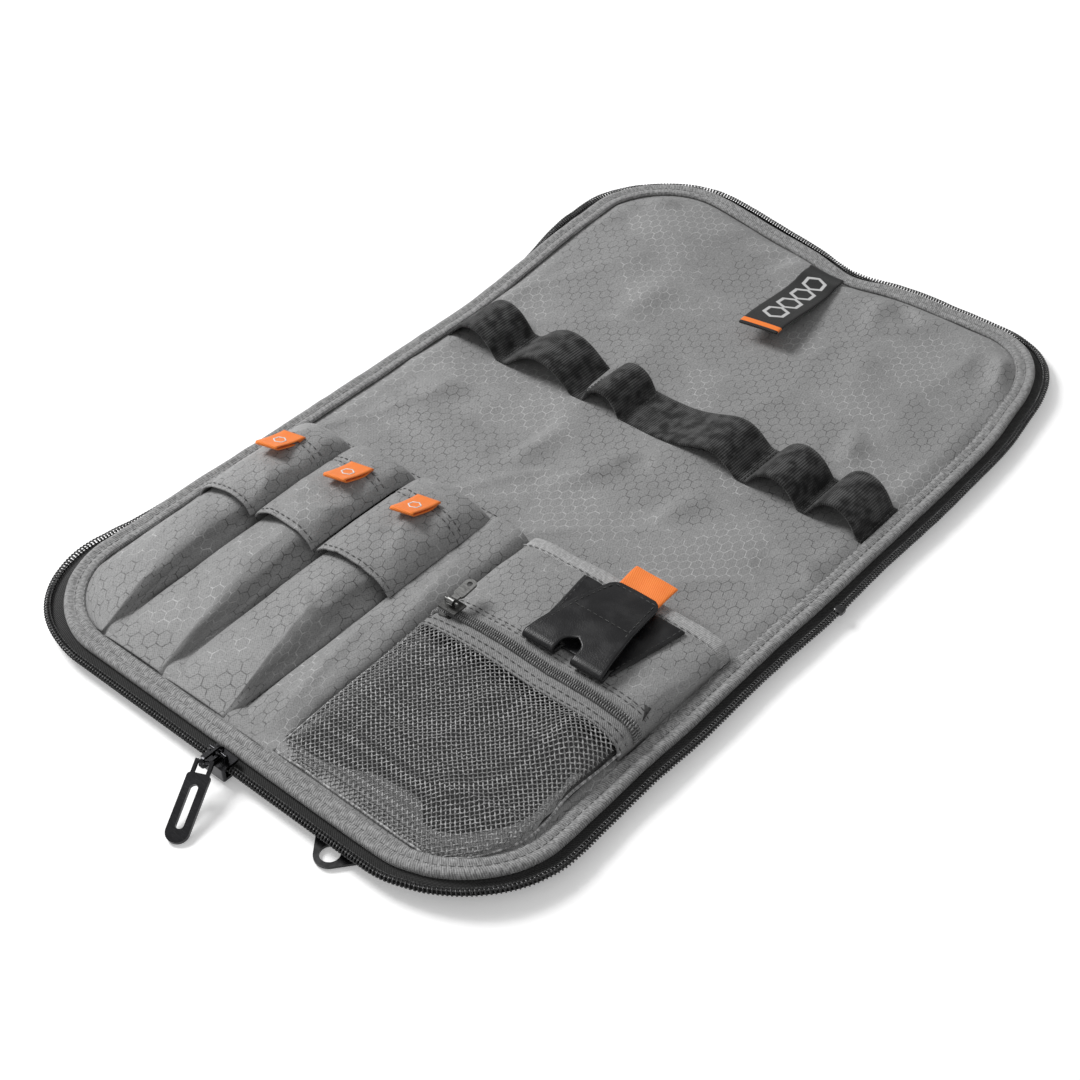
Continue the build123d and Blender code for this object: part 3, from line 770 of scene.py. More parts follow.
def lining_z(x, y):
    """The lining's height: drawn down along the binding, puffed inside it, wrinkled in the open parts."""
    depth = inside(x, y)
    z = LINING + 0.2 - 0.9 * bump(depth, BINDING_WIDTH + 0.3, 1.6) + 0.8 * bump(depth, BINDING_WIDTH + 6, 4.0)
    z = z + 0.8 * ripple(x, y, 3, 62) + 0.2 * ripple(x, y, 4, 22)
    z = z + 1.1 * rumple(x * 0.8 - y * 0.5, y * 0.3, 5, 70)
    open_part = smooth(-60, -36, y)
    for start, end, width, height in WRINKLES:
        z = z + 2.0 * crease(x, y, start, end, width * 1.2, height) * open_part * smooth(7, 16, depth)
    for fold in (-13, 13):
        wander = 2.0 * ripple(x, 0 * x, 30 + fold, 90)
        z = z - 0.22 * bump(y, fold + wander, 3.6) * smooth(7, 14, depth)
        z = z + 0.2 * bump(y, fold + wander - 6, 5.0) * smooth(7, 14, depth)
    # the valleys are held up by the board, and the edge goes down under the binding
    lowest, soft = LINING - 0.3, 0.35
    clear = smooth(6, 9, depth)
    return lowest + soft * np.logaddexp(0, (z - lowest) / soft) * clear - 0.5 * (1 - clear)


def sheet_grid(part, inset, step):
    """A grid over the outline's inside between a part's rows."""
    first, last = ROWS[part]
    first, last = max(first, -HALF_Y + inset), min(last, HALF_Y - inset)
    y = np.linspace(first, last, int((last - first) / step) + 2)
    share = np.linspace(-1, 1, int(2 * HALF_X / step) + 1)
    return share[:, None] * half_width(y, inset)[None, :], np.broadcast_to(y, (len(share), len(y)))


def shell_lining():
    for part in ROWS:
        x, y = sheet_grid(part, LINING_INSET, 1.6)
        flat = np.stack([x, y], -1)
        p = warp(np.stack([x, y, lining_z(x, y)], -1))
        piece = Build().grid(p, flat).object(f"{part}_lining_cloth", LINING_CLOTH, thickness=0.5,
                                             replaces=[node_of(part, "lining")], slot="lining", rim=False)
        follow(piece, part)


def shell_cover():
    """The underside and the rolled side wall, black woven cloth."""
    for part in ROWS:
        x, y = sheet_grid(part, 9.0, 3.0)
        flat = np.stack([x, -y], -1)
        z = 0.25 + 0.12 * ripple(x, y, 21, 40) + 0.3 * bump(inside(x, y), 9, 2)
        p = warp(np.stack([x, y, z], -1))
        build = Build().grid(p[:, ::-1], flat[:, ::-1])
        # the wall turns up from the underside to the seam below the binding
        wall = np.array([(-0.9, 5.0), (0.3, 4.5), (0.5, 3.9), (-0.6, 3.2), (-3.0, 2.3), (-6.2, 1.0),
                         (-9.4, 0.25), (-12, 0.3)])
        for start, end in RUNS[part]:
            s = np.linspace(start, end, int((end - start) / 2) + 2)
            place, out = rim(s)
            bulge = 0.5 * ripple(*place.T, 23, 60) - 1.3 * tucked(place)
            bulge = bulge + 2.8 * smooth(40, 110, place[:, 0]) * smooth(120, 185, -place[:, 1])
            shape = np.array([0, 0.6, 1.0, 0.9, 0.5, 0.2, 0, 0])
            d = wall[:, 0][None] + bulge[:, None] * shape
            p = np.concatenate([place[:, None] + out[:, None] * d[..., None],
                                np.broadcast_to(wall[:, 1], d.shape)[..., None]], -1)
            uv = np.stack(np.meshgrid(s, np.arange(len(wall)) * 2.6, indexing="ij"), -1)
            build.grid(warp(p), uv)
        node = node_of(part, "outer_cover", "cover")
        piece = build.object(f"{part}_cover_cloth", COVER_CLOTH, thickness=0.4, subdivide=1,
                             replaces=[node], slot="outer_fabric", rim=False)
        follow(piece, part)


def shell_boards():
    """Pressed boards between the padding and the lining, bent with the shell."""
    for half in ("near", "far"):
        a, b = low(f"{half}_board"), high(f"{half}_board")
        y = np.linspace(a[1], b[1], 60)
        inset = HALF_X - b[0] + 1.5
        share = np.linspace(-1, 1, 40)
        x = share[:, None] * half_width(y, inset)[None]
        gy = np.broadcast_to(y, x.shape)
        p = warp(np.stack([x, gy, np.full(x.shape, b[2] - 0.1)], -1))
        Build().grid(p, np.stack([x, gy], -1)).object(
            f"{half}_stiffener", BOARD, f"{half}_half", thickness=b[2] - a[2] - 0.2,
            replaces=[f"{half}_board"], slot="board")


def shell_foam():
    """Padding with rounded edges, closed inside the shell."""
    for part, first, last in (("near", -179.6, -13.6), ("spine", -12.4, 12.4), ("far", 13.6, 179.6)):
        y = np.linspace(first, last, 40)
        turn = np.linspace(0, 2 * math.pi, 48, endpoint=False)
        reach = half_width(y, 10.6)[:, None]
        middle, thick = (1.0 + 3.6) / 2, (3.6 - 1.0) / 2
        ends = np.sqrt(np.clip(1 - ((y - (first + last) / 2) / ((last - first) / 2)) ** 20, 0.02, 1))[:, None]
        x = reach * np.sign(np.cos(turn)) * np.abs(np.cos(turn)) ** 0.3
        z = middle + thick * ends * np.sign(np.sin(turn)) * np.abs(np.sin(turn)) ** 0.25
        p = np.stack([x, np.broadcast_to(y[:, None], x.shape), z], -1)
        build = Build().grid(warp(p), None, round_j=True, caps=True)
        body = "spine" if part == "spine" else f"{part}_half"
        piece = build.object(f"{part}_padding", FOAM, body, replaces=[f"{part}_foam"], slot="foam")


# outwards from the outline's edge, and up
BINDING_SECTION = (
    (-7.3, 5.5), (-7.9, 6.2), (-7.6, 6.9), (-6.7, 7.35), (-5.5, 7.45), (-4.6, 7.1), (-4.0, 6.95), (-3.2, 7.2),
    (-2.2, 7.7), (-1.0, 7.6), (-0.2, 7.0), (0.1, 6.1), (0.0, 5.2), (-0.5, 4.7), (-1.2, 4.9), (-4.0, 5.5),
)


def loose(x, y):
    """0 where the main slider runs, so that the zip is straight there, and 1 elsewhere."""
    return np.minimum(smooth(74, 88, np.abs(x)) + (y > -SIDE), 1)


def rim_sway(s):
    """How the sewn edge wanders outwards and up."""
    x, y = rim(s)[0].T
    up = 0.22 * ripple(x, y, 32, 40) + 0.12 * ripple(x, y, 33, 12)
    return 0.45 * ripple(x, y, 31, 70) * loose(x, y), up * loose(x, y)


def tucked(place):
    """How far the zip has rolled in under the edge: fully along the left side, partly along the far end."""
    x, y = place.T
    left = smooth(70, 112, -x) * smooth(-165, -110, y) * (1 - 0.95 * smooth(90, 135, y))
    return np.maximum(left, 0.3 * smooth(150, 188, y) * smooth(-50, 0, x))


def zip_droop(place):
    """The zip hangs lower and further out round the near left corner, and rolls in where it is tucked."""
    x, y = place.T
    left_near = smooth(78, 112, -x) * smooth(100, 180, -y)
    far_left = smooth(40, 105, -x) * smooth(110, 185, y)
    tuck = tucked(place)
    out = 1.4 * left_near + 0.8 * far_left + 0.3 * loose(x, y) * ripple(x, y, 41, 60) - 3.6 * tuck
    up = -0.9 * left_near - 2.2 * far_left + 0.25 * loose(x, y) * ripple(x, y, 42, 80) - 1.7 * tuck
    return out, up


def beside_rim(s, across, up, hang=0.0):
    """Points (n, m, 3) at lengths s along the rim, across outwards and up from it. They sway with the edge,
    and hang says how far they droop with the zip."""
    place, out = rim(s)
    d_sway, z_sway = rim_sway(s)
    d_more, z_more = zip_droop(place)
    d = across + d_sway[:, None] + d_more[:, None] * hang
    z = up + z_sway[:, None] + z_more[:, None] * hang
    return warp(np.concatenate([place[:, None] + out[:, None] * d[..., None], z[..., None]], -1))


def steps(start, end, step):
    return np.linspace(start, end, int((end - start) / step) + 2)


def rim_sweep(part, section, step, closed=True, hang=0.0):
    """Sweeps a section of (outwards, up) points along the rim."""
    build, section = Build(), np.array(section, float)
    for start, end in RUNS[part]:
        s = steps(start, end, step)
        uv = np.stack(np.meshgrid(s, lengths(section), indexing="ij"), -1)
        build.grid(beside_rim(s, section[:, 0], section[:, 1], hang), uv, round_j=closed)
    return build


def shell_binding():
    for part in ROWS:
        build = rim_sweep(part, BINDING_SECTION, 1.6)
        for start, end in RUNS[part]:
            for across in (-4.1, -7.35):
                path = beside_rim(steps(start, end, 1.5), across, 7.12)[:, 0]
                stitch(build, path, 2.0, 0.2, 2.9, slot=1)
        piece = build.object(f"{part}_edge_binding", [BINDING_TAPE, THREAD],
                             replaces=[node_of(part, "binding")], slot="binding")
        follow(piece, part)


TAPE_SECTION = ((-1.4, 4.75), (0.2, 4.6), (2.0, 4.35), (3.4, 4.1), (5.0, 4.05))  # outwards, up
TAPE_HANG = np.linspace(0, 1, len(TAPE_SECTION)) ** 0.8  # more of the droop, the further out
COIL_PITCH = 1.35
COIL_WIRE = 0.36  # the radius of the coil's strand


def coil_points(s, wide, tall):
    """Points about the coil's middle line. The coil turns on edge as it rolls in."""
    stand = 0.9 * tucked(rim(s)[0])[:, None]
    across = COIL_OUT + wide * np.cos(stand) + tall * np.sin(stand)
    return beside_rim(s, across, COIL_Z - wide * np.sin(stand) + tall * np.cos(stand), 1.0)


def shell_zip():
    half_wide = high("near_zip_coil")[0] - HALF_X - COIL_OUT
    for part in ROWS:
        tape = rim_sweep(part, TAPE_SECTION, 2.2, closed=False, hang=TAPE_HANG)
        piece = tape.object(f"{part}_edge_tape", TAPE_CLOTH, thickness=0.6,
                            replaces=[node_of(part, "zip_tape")], slot="zip_tape", rim=False)
        follow(piece, part)
        coil = Build()
        for start, end in RUNS[part]:
            turns = int((end - start) / COIL_PITCH)
            s = np.linspace(start, end, turns * 10 + 1)
            turn = 2 * math.pi * np.linspace(0, turns, len(s))
            wide, tall = (half_wide - 0.35) * np.cos(turn), 0.75 * np.sin(turn)
            tube(coil, coil_points(s, wide[:, None], tall[:, None])[:, 0], COIL_WIRE, sides=5)
            for across, up in ((COIL_OUT - 1.0, 0.8), (COIL_OUT + 0.2, 0.85)):
                path = beside_rim(steps(start, end, 1.5), across, COIL_Z + up, 1.0)[:, 0]
                stitch(coil, path, 1.15, 0.26, COIL_PITCH, slot=1)
        piece = coil.object(f"{part}_edge_coil", [COIL_NYLON, DARK_THREAD],
                            replaces=[node_of(part, "zip_coil")], slot="zip_coil")
        follow(piece, part)


# ---------------------------------------------------------------- cable pockets and flaps

# distance from the pockets' foot, and their height above the lining
POCKET_RISE = ((0, 1.0), (6, 3.0), (12, 5.4), (27, 8.6), (57, 11.0), (94, 12.0))
LEFT_ROUND = (1.7, 2.3, 2.3)  # how boxy each pocket's left shoulder is
RIGHT_ROUND = (1.9, 1.8, 1.35)


def pocket_span(k):
    return low(f"cable_pocket_{k}")[0], high(f"cable_pocket_{k}")[0]


def pocket_height(y):
    """The cable pockets' rise above the lining."""
    foot = low("pen_slot")[1]
    places, values = zip(*POCKET_RISE)
    return flow(np.asarray(y) - foot, places, values, 5.0)


def arch(x0, x1, height, t, left_round, right_round, crown=0.56):
    """The section of a padded tube: t runs 0 to 1 from its left seam over the top to its right seam."""
    turn = math.pi * t
    cos, sin = np.cos(turn), np.abs(np.sin(turn))
    left = cos > 0
    power = np.where(left, 2 / left_round, 2 / right_round)
    centre = x0 + crown * (x1 - x0)
    reach = np.where(left, centre - x0, x1 - centre)
    x = centre - reach * np.sign(cos) * np.abs(cos) ** power
    z = height * np.abs(sin) ** power
    return x, z


def pocket_surface(k, t, y):
    """Points on cable pocket k's cloth, t across and y along."""
    x0, x1 = pocket_span(k)
    x0 = np.maximum(x0, -half_width(y, BINDING_WIDTH))
    h = pocket_height(y)
    along = smooth(-182, -110, y)  # the ridge starts at the right seam's foot and moves in
    crown = 0.94 - 0.34 * along
    right_round = RIGHT_ROUND[k - 1] + 0.6 * smooth(-130, -92, y)
    x, z = arch(x0, x1, h, t, LEFT_ROUND[k - 1], right_round, crown)
    wall = smooth(0.6, 0.74, t) * (1 - smooth(0.95, 1.0, t))
    grown = smooth(-176, -150, y)
    pleat = np.sin(math.pi * np.clip((t - 0.66) / 0.3, 0, 1)) ** 2
    x = x - 1.3 * pleat * grown * (1 + 0.4 * ripple(0 * y, y, 51 + k, 40))
    z = z - 1.1 * bump(t, 0.80 + 0.03 * ripple(0 * y, y, 52 + k, 60), 0.035) * grown
    top = smooth(0.05, 0.3, t) * (1 - smooth(0.75, 0.9, t))
    z = z + top * grown * (0.6 * ripple(x, y, 54 + k, 42) + 0.22 * ripple(x, y, 57 + k, 14))
    z = z + top * grown * 0.7 * rumple(x * 1.6, y * 0.5, 58 + k, 34)
    z = z - 0.8 * top * grown * bump(x, x0 + 0.30 * (x1 - x0), 5) * (0.5 + 0.5 * ripple(0 * y, y, 61 + k, 60))
    x = x + wall * 0.5 * ripple(y, z * 3, 64 + k, 24)
    return np.stack([x, y, LINING + z], -1)


def spaced(n):
    """Shares across a tube, closer together over the shoulders."""
    t = np.linspace(0, 1, n)
    return t - 0.06 * np.sin(4 * math.pi * t) / 2


def cable_pockets():
    for k in (1, 2, 3):
        y0, y1 = low("pen_slot")[1] + 0.3, high(f"cable_pocket_{k}")[1]
        t, y = np.meshgrid(spaced(44), np.linspace(y0, y1, 62), indexing="ij")
        p = pocket_surface(k, t, y)
        girth = lengths(p[:, -1])
        flat = np.stack([p[0, -1, 0] + girth[:, None] + 0 * y, y], -1)
        piece = Build().grid(p, flat).object(
            f"cable_pocket_cloth_{k}", LINING_CLOTH, "near_half", thickness=0.7, subdivide=1,
            replaces=[f"cable_pocket_{k}"], slot="lining")


FLAP_PROFILE = (
    (0, 0.9), (5, 1.0), (6.2, 3.6), (7.2, 8.5), (9.4, 12.4), (14, 14.2), (22, 15.0), (46, 15.2), (58, 14.6),
    (66, 13.9),
)  # distance from the flap's back edge, height above the lining
FLAP_LEFT = (0.5, 0.0, -0.3)  # how far each flap's sides are from its pocket's
FLAP_RIGHT = (0.4, -0.4, 5.4)
FLAP_LEFT_ROUND = (1.9, 3.0, 3.0)
FLAP_RIGHT_ROUND = (3.4, 3.4, 2.2)


def flap_span(k):
    x0, x1 = pocket_span(k)
    return x0 + FLAP_LEFT[k - 1], x1 + FLAP_RIGHT[k - 1]


def flap_surface(k, across, back):
    """Points on flap k: across 0 to 1 from left to right, back is the distance from its sewn edge."""
    x0, x1 = flap_span(k)
    edge = high(f"flap_{k}")[1]
    places, values = zip(*FLAP_PROFILE)
    h = flow(back, places, values, 1.0)
    y = edge - back * (edge - low(f"flap_{k}")[1]) / FLAP_PROFILE[-1][0]
    boxed = 1 - smooth(6, 20, back)  # the corners behind the mouth are tucked down to the lining
    cut = 0.13 - 0.10 * boxed
    left_cut = cut if k > 1 else 0.02 + 0 * cut
    t = left_cut + across * (1 - left_cut - cut)
    x, z = arch(x0 - 0.8, x1 + 0.8, h, t, FLAP_LEFT_ROUND[k - 1], FLAP_RIGHT_ROUND[k - 1])
    flat = 1 - smooth(4.5, 6.5, back)
    x = x + (x0 + across * (x1 - x0) - x) * flat
    z = z + (h - z) * flat
    body = smooth(10, 22, back) * smooth(0.1, 0.3, across) * (1 - smooth(0.72, 0.9, across))
    z = z + body * (0.65 * ripple(x, y, 71 + k, 34) + 0.25 * ripple(x, y, 74 + k, 13))
    z = z + body * 0.9 * rumple(x, y, 84 + k, 40)
    seam = 25.0 + 2.0 * (across - 0.5)
    z = z - 0.7 * bump(back, seam, 1.3) * smooth(0.02, 0.15, across) * (1 - smooth(0.85, 0.98, across))
    z = z + 0.5 * bump(back, seam + 5, 4.0) * body
    if k == 3:
        z = z + crease(x, y, (-30, -60), (-12, -96), 3.5, 1.2) * body
    z = z + 0.5 * smooth(62, 66, back) * ripple(x, 0 * x, 77 + k, 26)
    return np.stack([x, y, LINING + z], -1)


def flaps():
    for k in (1, 2, 3):
        body = f"flap_{k}"
        across, back = np.meshgrid(spaced(40), np.linspace(0, FLAP_PROFILE[-1][0], 76), indexing="ij")
        p = flap_surface(k, across, back)[:, ::-1]
        x0, x1 = flap_span(k)
        girth, length = lengths(p[:, 10]), lengths(p[20])
        flat = np.stack([x0 + girth[:, None] + 0 * back, 1.3 + p[0, 0, 1] + length[None, :] + 0 * back], -1)
        build = Build().grid(p, flat)
        piece = build.object(f"flap_cloth_{k}", LINING_CLOTH, thickness=0.9, offset=0.0, subdivide=1,
                             replaces=[f"flap_{k}"], slot="lining")
        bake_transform(piece)
        rows = Build()
        line = np.linspace(0.02, 0.98, 60)
        q = flap_surface(k, line, FLAP_PROFILE[-1][0] - 2.0 + 0 * line)
        stitch(rows, q + [0, 0, 0.62])
        for back_at in (23.4, 26.6):
            q = flap_surface(k, line, back_at + 2.0 * (line - 0.5))
            stitch(rows, q + [0, 0, 0.55])
        rows.object(f"flap_stitches_{k}", SEAM_THREAD, body, slot="lining")
        sewn = Build()
        for back_at in (1.2, 3.6):
            q = flap_surface(k, np.linspace(0.02, 0.98, 40), back_at + np.zeros(40))
            stitch(sewn, q + [0, 0, 0.55])
        sewn.object(f"flap_root_stitches_{k}", SEAM_THREAD, "near_half", slot="lining")
        flap_patch(k)
        flap_ribbon(k)


def flap_patch(k):
    """Hook and loop: a strip under the flap's front and one on the pocket below it."""
    a, b = low(f"flap_hook_patch_{k}"), high(f"flap_hook_patch_{k}")
    edge = high(f"flap_{k}")[1]
    share, y = np.meshgrid(np.linspace(0.34, 0.64, 16), np.linspace(a[1], b[1], 12), indexing="ij")
    scale = FLAP_PROFILE[-1][0] / (edge - low(f"flap_{k}")[1])
    under = flap_surface(k, share, (edge - y) * scale) - [0, 0, 0.75]
    over = pocket_surface(k, share, y + 0.5) + [0, 0, 0.45]
    made = (
        (f"hook_patch_{k}", under[:, ::-1], f"flap_{k}", f"flap_hook_patch_{k}", f"flap_cloth_{k}"),
        (f"loop_patch_{k}", over, "near_half", "pocket_loop_patches", f"cable_pocket_cloth_{k}"),
    )
    for name, p, body, node, rests in made:
        piece = Build().grid(p + [0, 0, 0.05] * ripple(p[..., :1], p[..., 1:2], 81, 5)).object(
            name, HOOK_LOOP, body, thickness=0.6, offset=0.0, subdivide=1, replaces=[node],
            slot="hook_and_loop")


def flap_ribbon(k):
    """A folded ribbon tab, sewn in the flap's cross seam, with its free end lifted."""
    a, b = low(f"flap_ribbon_{k}"), high(f"flap_ribbon_{k}")
    long = b[1] - a[1]
    share = np.linspace(0, 1, 22)
    lift = 0.3 + 3.4 * share**1.5
    fold = 0.75
    upper = np.stack([share * long, lift + 0.5], -1)
    turn = np.linspace(math.pi / 2, -math.pi / 2, 7)[1:-1]
    bend = np.stack([long + fold * np.cos(turn) * 0.9, lift[-1] + 0.5 - fold + fold * np.sin(turn)], -1)
    lower = np.stack([share[::-1] * long, lift[::-1] + 0.5 - 2 * fold * np.clip(share[::-1] * 3, 0.3, 1)], -1)
    path = np.vstack([upper, bend, lower])
    wide = np.linspace(0, 1, 9)
    x0, x1 = a[0], b[0]
    gx, row = np.meshgrid(x0 + wide * (x1 - x0), np.arange(len(path)), indexing="ij")
    skew = 2.2 * (gx - (x0 + x1) / 2) / (x1 - x0)
    y = b[1] - path[row, 0] + skew
    fx0, fx1 = flap_span(k)
    first, last = (x0 - fx0) / (fx1 - fx0), (x1 - fx0) / (fx1 - fx0)
    below = np.meshgrid(np.linspace(first, last, 7), np.linspace(22, 37, 9))
    base = flap_surface(k, *below)[..., 2].max() - 0.2
    z = base + path[row, 1] + 0.5 * (gx - x0) / (x1 - x0) * path[row, 0] / long
    p = np.stack([gx, y, z], -1)[:, ::-1]
    step = lengths(path)
    uv = np.stack([gx, step[row]], -1)[:, ::-1]
    build = Build().grid(p, uv)
    piece = build.object(f"ribbon_tab_{k}", RIBBON, f"flap_{k}", thickness=0.35, offset=0.0,
                         replaces=[f"flap_ribbon_{k}"], slot="orange_ribbon")
    motif = Build()
    centre = np.array([(x0 + x1) / 2, b[1] - 0.55 * long, 0])
    size = 2.5
    turn = np.linspace(0, 2 * math.pi, 7)
    ring = np.stack([centre[0] + size * np.sin(turn), centre[1] + size * np.cos(turn)], -1)
    fine = np.vstack([np.linspace(ring[i], ring[i + 1], 6) for i in range(6)])
    along = (b[1] + 2.2 * (fine[:, 0] - (x0 + x1) / 2) / (x1 - x0) - fine[:, 1])
    twist = 0.5 * (fine[:, 0] - x0) / (x1 - x0) * along / long
    height = base + np.interp(along, path[:22, 0], path[:22, 1]) + twist
    tube(motif, np.column_stack([fine, height + 0.2]), 0.3, sides=6, flat=0.6)
    motif.object(f"ribbon_motif_{k}", WHITE_THREAD, f"flap_{k}", slot="orange_ribbon")


def pen_slot():
    x0, x1 = low("pen_slot")[0], high("pen_slot")[0]
    y0, y1 = low("pen_slot")[1], high("pen_slot")[1]
    rise = high("pen_slot")[2] - LINING
    t, y = np.meshgrid(np.linspace(0, 1, 26), np.linspace(y0, y1, 84), indexing="ij")
    h = 1.35 * rise * smooth(y0 - 4, y0 + 30, y) * (0.62 + 0.38 * smooth(y1 - 90, y1 - 40, y))
    share = -np.cos(math.pi * t)
    x = (x0 + x1) / 2 + (x1 - x0) / 2 * share
    z = h * np.clip(1 - np.abs(share) ** 3.2, 0, 1) ** 0.5
    grown = np.clip(1 - np.abs(share) ** 4, 0, 1)
    z = z + grown * (0.5 * ripple(x, y, 91, 26) + 0.2 * ripple(x, y, 92, 11))
    for start, end, height in (((6, -178), (-4, -110), 0.9), ((9, -120), (0, -60), 0.8)):
        z = z + grown * crease(x, y, start, end, 2.5, height)
    p = np.stack([x, y, LINING + z], -1)
    build = Build().grid(p, np.stack([x * 1.2, y], -1))
    piece = build.object("pen_slot_cloth", LINING_CLOTH, "near_half", thickness=0.6, subdivide=1,
                         replaces=["pen_slot"], slot="lining")


# ---------------------------------------------------------------- the zipped pocket

PANEL_PROFILE = (
    (-182, 0.6), (-172, 3.6), (-160, 6.4), (-145, 8.8), (-128, 10.6), (-112, 11.8), (-100, 12.0), (-93, 11.3),
    (-88, 11.5), (-72, 10.8), (-60, 9.8), (-50, 9.2),
)  # y, and the front's height above the lining
FRONT_BOXY = 4.6  # how boxy the front's section is
POCKET_COIL_PITCH, POCKET_COIL_WIRE = 0.95, 0.27


def front_span():
    return low("pocket_gusset")[0], high("pocket_gusset")[0]


def front_ends(y):
    """The zipped pocket's left and right ends, kept inside the rounded corner."""
    x0, x1 = front_span()
    return x0, np.minimum(x1, half_width(y, BINDING_WIDTH))


def front_surface(t, y, lift=0.0):
    """Points on the zipped pocket's front: t 0 to 1 from its left seam over the top to the right."""
    x0, x1 = front_ends(y)
    places, values = zip(*PANEL_PROFILE)
    h = flow(y, places, values, 4.0)
    middle = (x0 + x1) / 2
    turn = math.pi * t
    cos, sin = np.cos(turn), np.abs(np.sin(turn))
    power = 2 / FRONT_BOXY
    x = middle - (x1 - x0) / 2 * np.sign(cos) * np.abs(cos) ** power
    side = sin**power
    high_part = smooth(-165, -120, y)
    wave = 0.34 * bump(x, 93, 8.5) * bump(y, -119, 9) - 0.07 * bump(x, 66, 10) + 0.03 * bump(x, 44, 11)
    swell = 1 + high_part * (wave + 0.02 * ripple(x, y, 101, 50))
    z = h * side * swell
    flatness = smooth(0.1, 0.4, sin)
    net = 1 - smooth(-114, -108, y)
    z = z - net * flatness * (1.6 * bump(y, -140, 18) * (0.6 + 0.4 * ripple(x, 0 * y, 103, 30)))
    z = z + net * flatness * 1.3 * rumple(x * 0.7, y * 1.2, 102, 48) * smooth(-176, -160, y)
    z = z + flatness * 0.35 * ripple(x, y, 104, 17) * (1 - 0.6 * bump(y, -100, 6))
    right = smooth(0.80, 0.92, t) * (1 - smooth(0.98, 1, t))
    x = x - right * 1.6 * (0.5 + 0.5 * np.sin(y / 7.5 + 2 * ripple(0 * y, y, 105, 60)))
    return np.stack([x, y, LINING + z + lift], -1)


def front_strip(build, y0, y1, rows, lift):
    """Adds the cloth between y0 and y1, lifted off the front, and gives its length across the pocket."""
    gt, gy = np.meshgrid(np.linspace(0, 1, 72), np.linspace(y0, y1, rows), indexing="ij")
    p = front_surface(gt, gy, lift)
    girth = lengths(p[:, rows // 2])
    uv = np.stack([girth[:, None] + 0 * gy, gy], -1)
    build.grid(p, uv)
    return girth[-1]


def pocket_share(x, y):
    """The share t at which the front pocket's cloth stands over x and y."""
    x0, x1 = front_ends(y)
    cos = np.clip(1 - 2 * (np.asarray(x, float) - x0) / (x1 - x0), -1, 1)
    return np.arccos(np.sign(cos) * np.abs(cos) ** (FRONT_BOXY / 2)) / math.pi


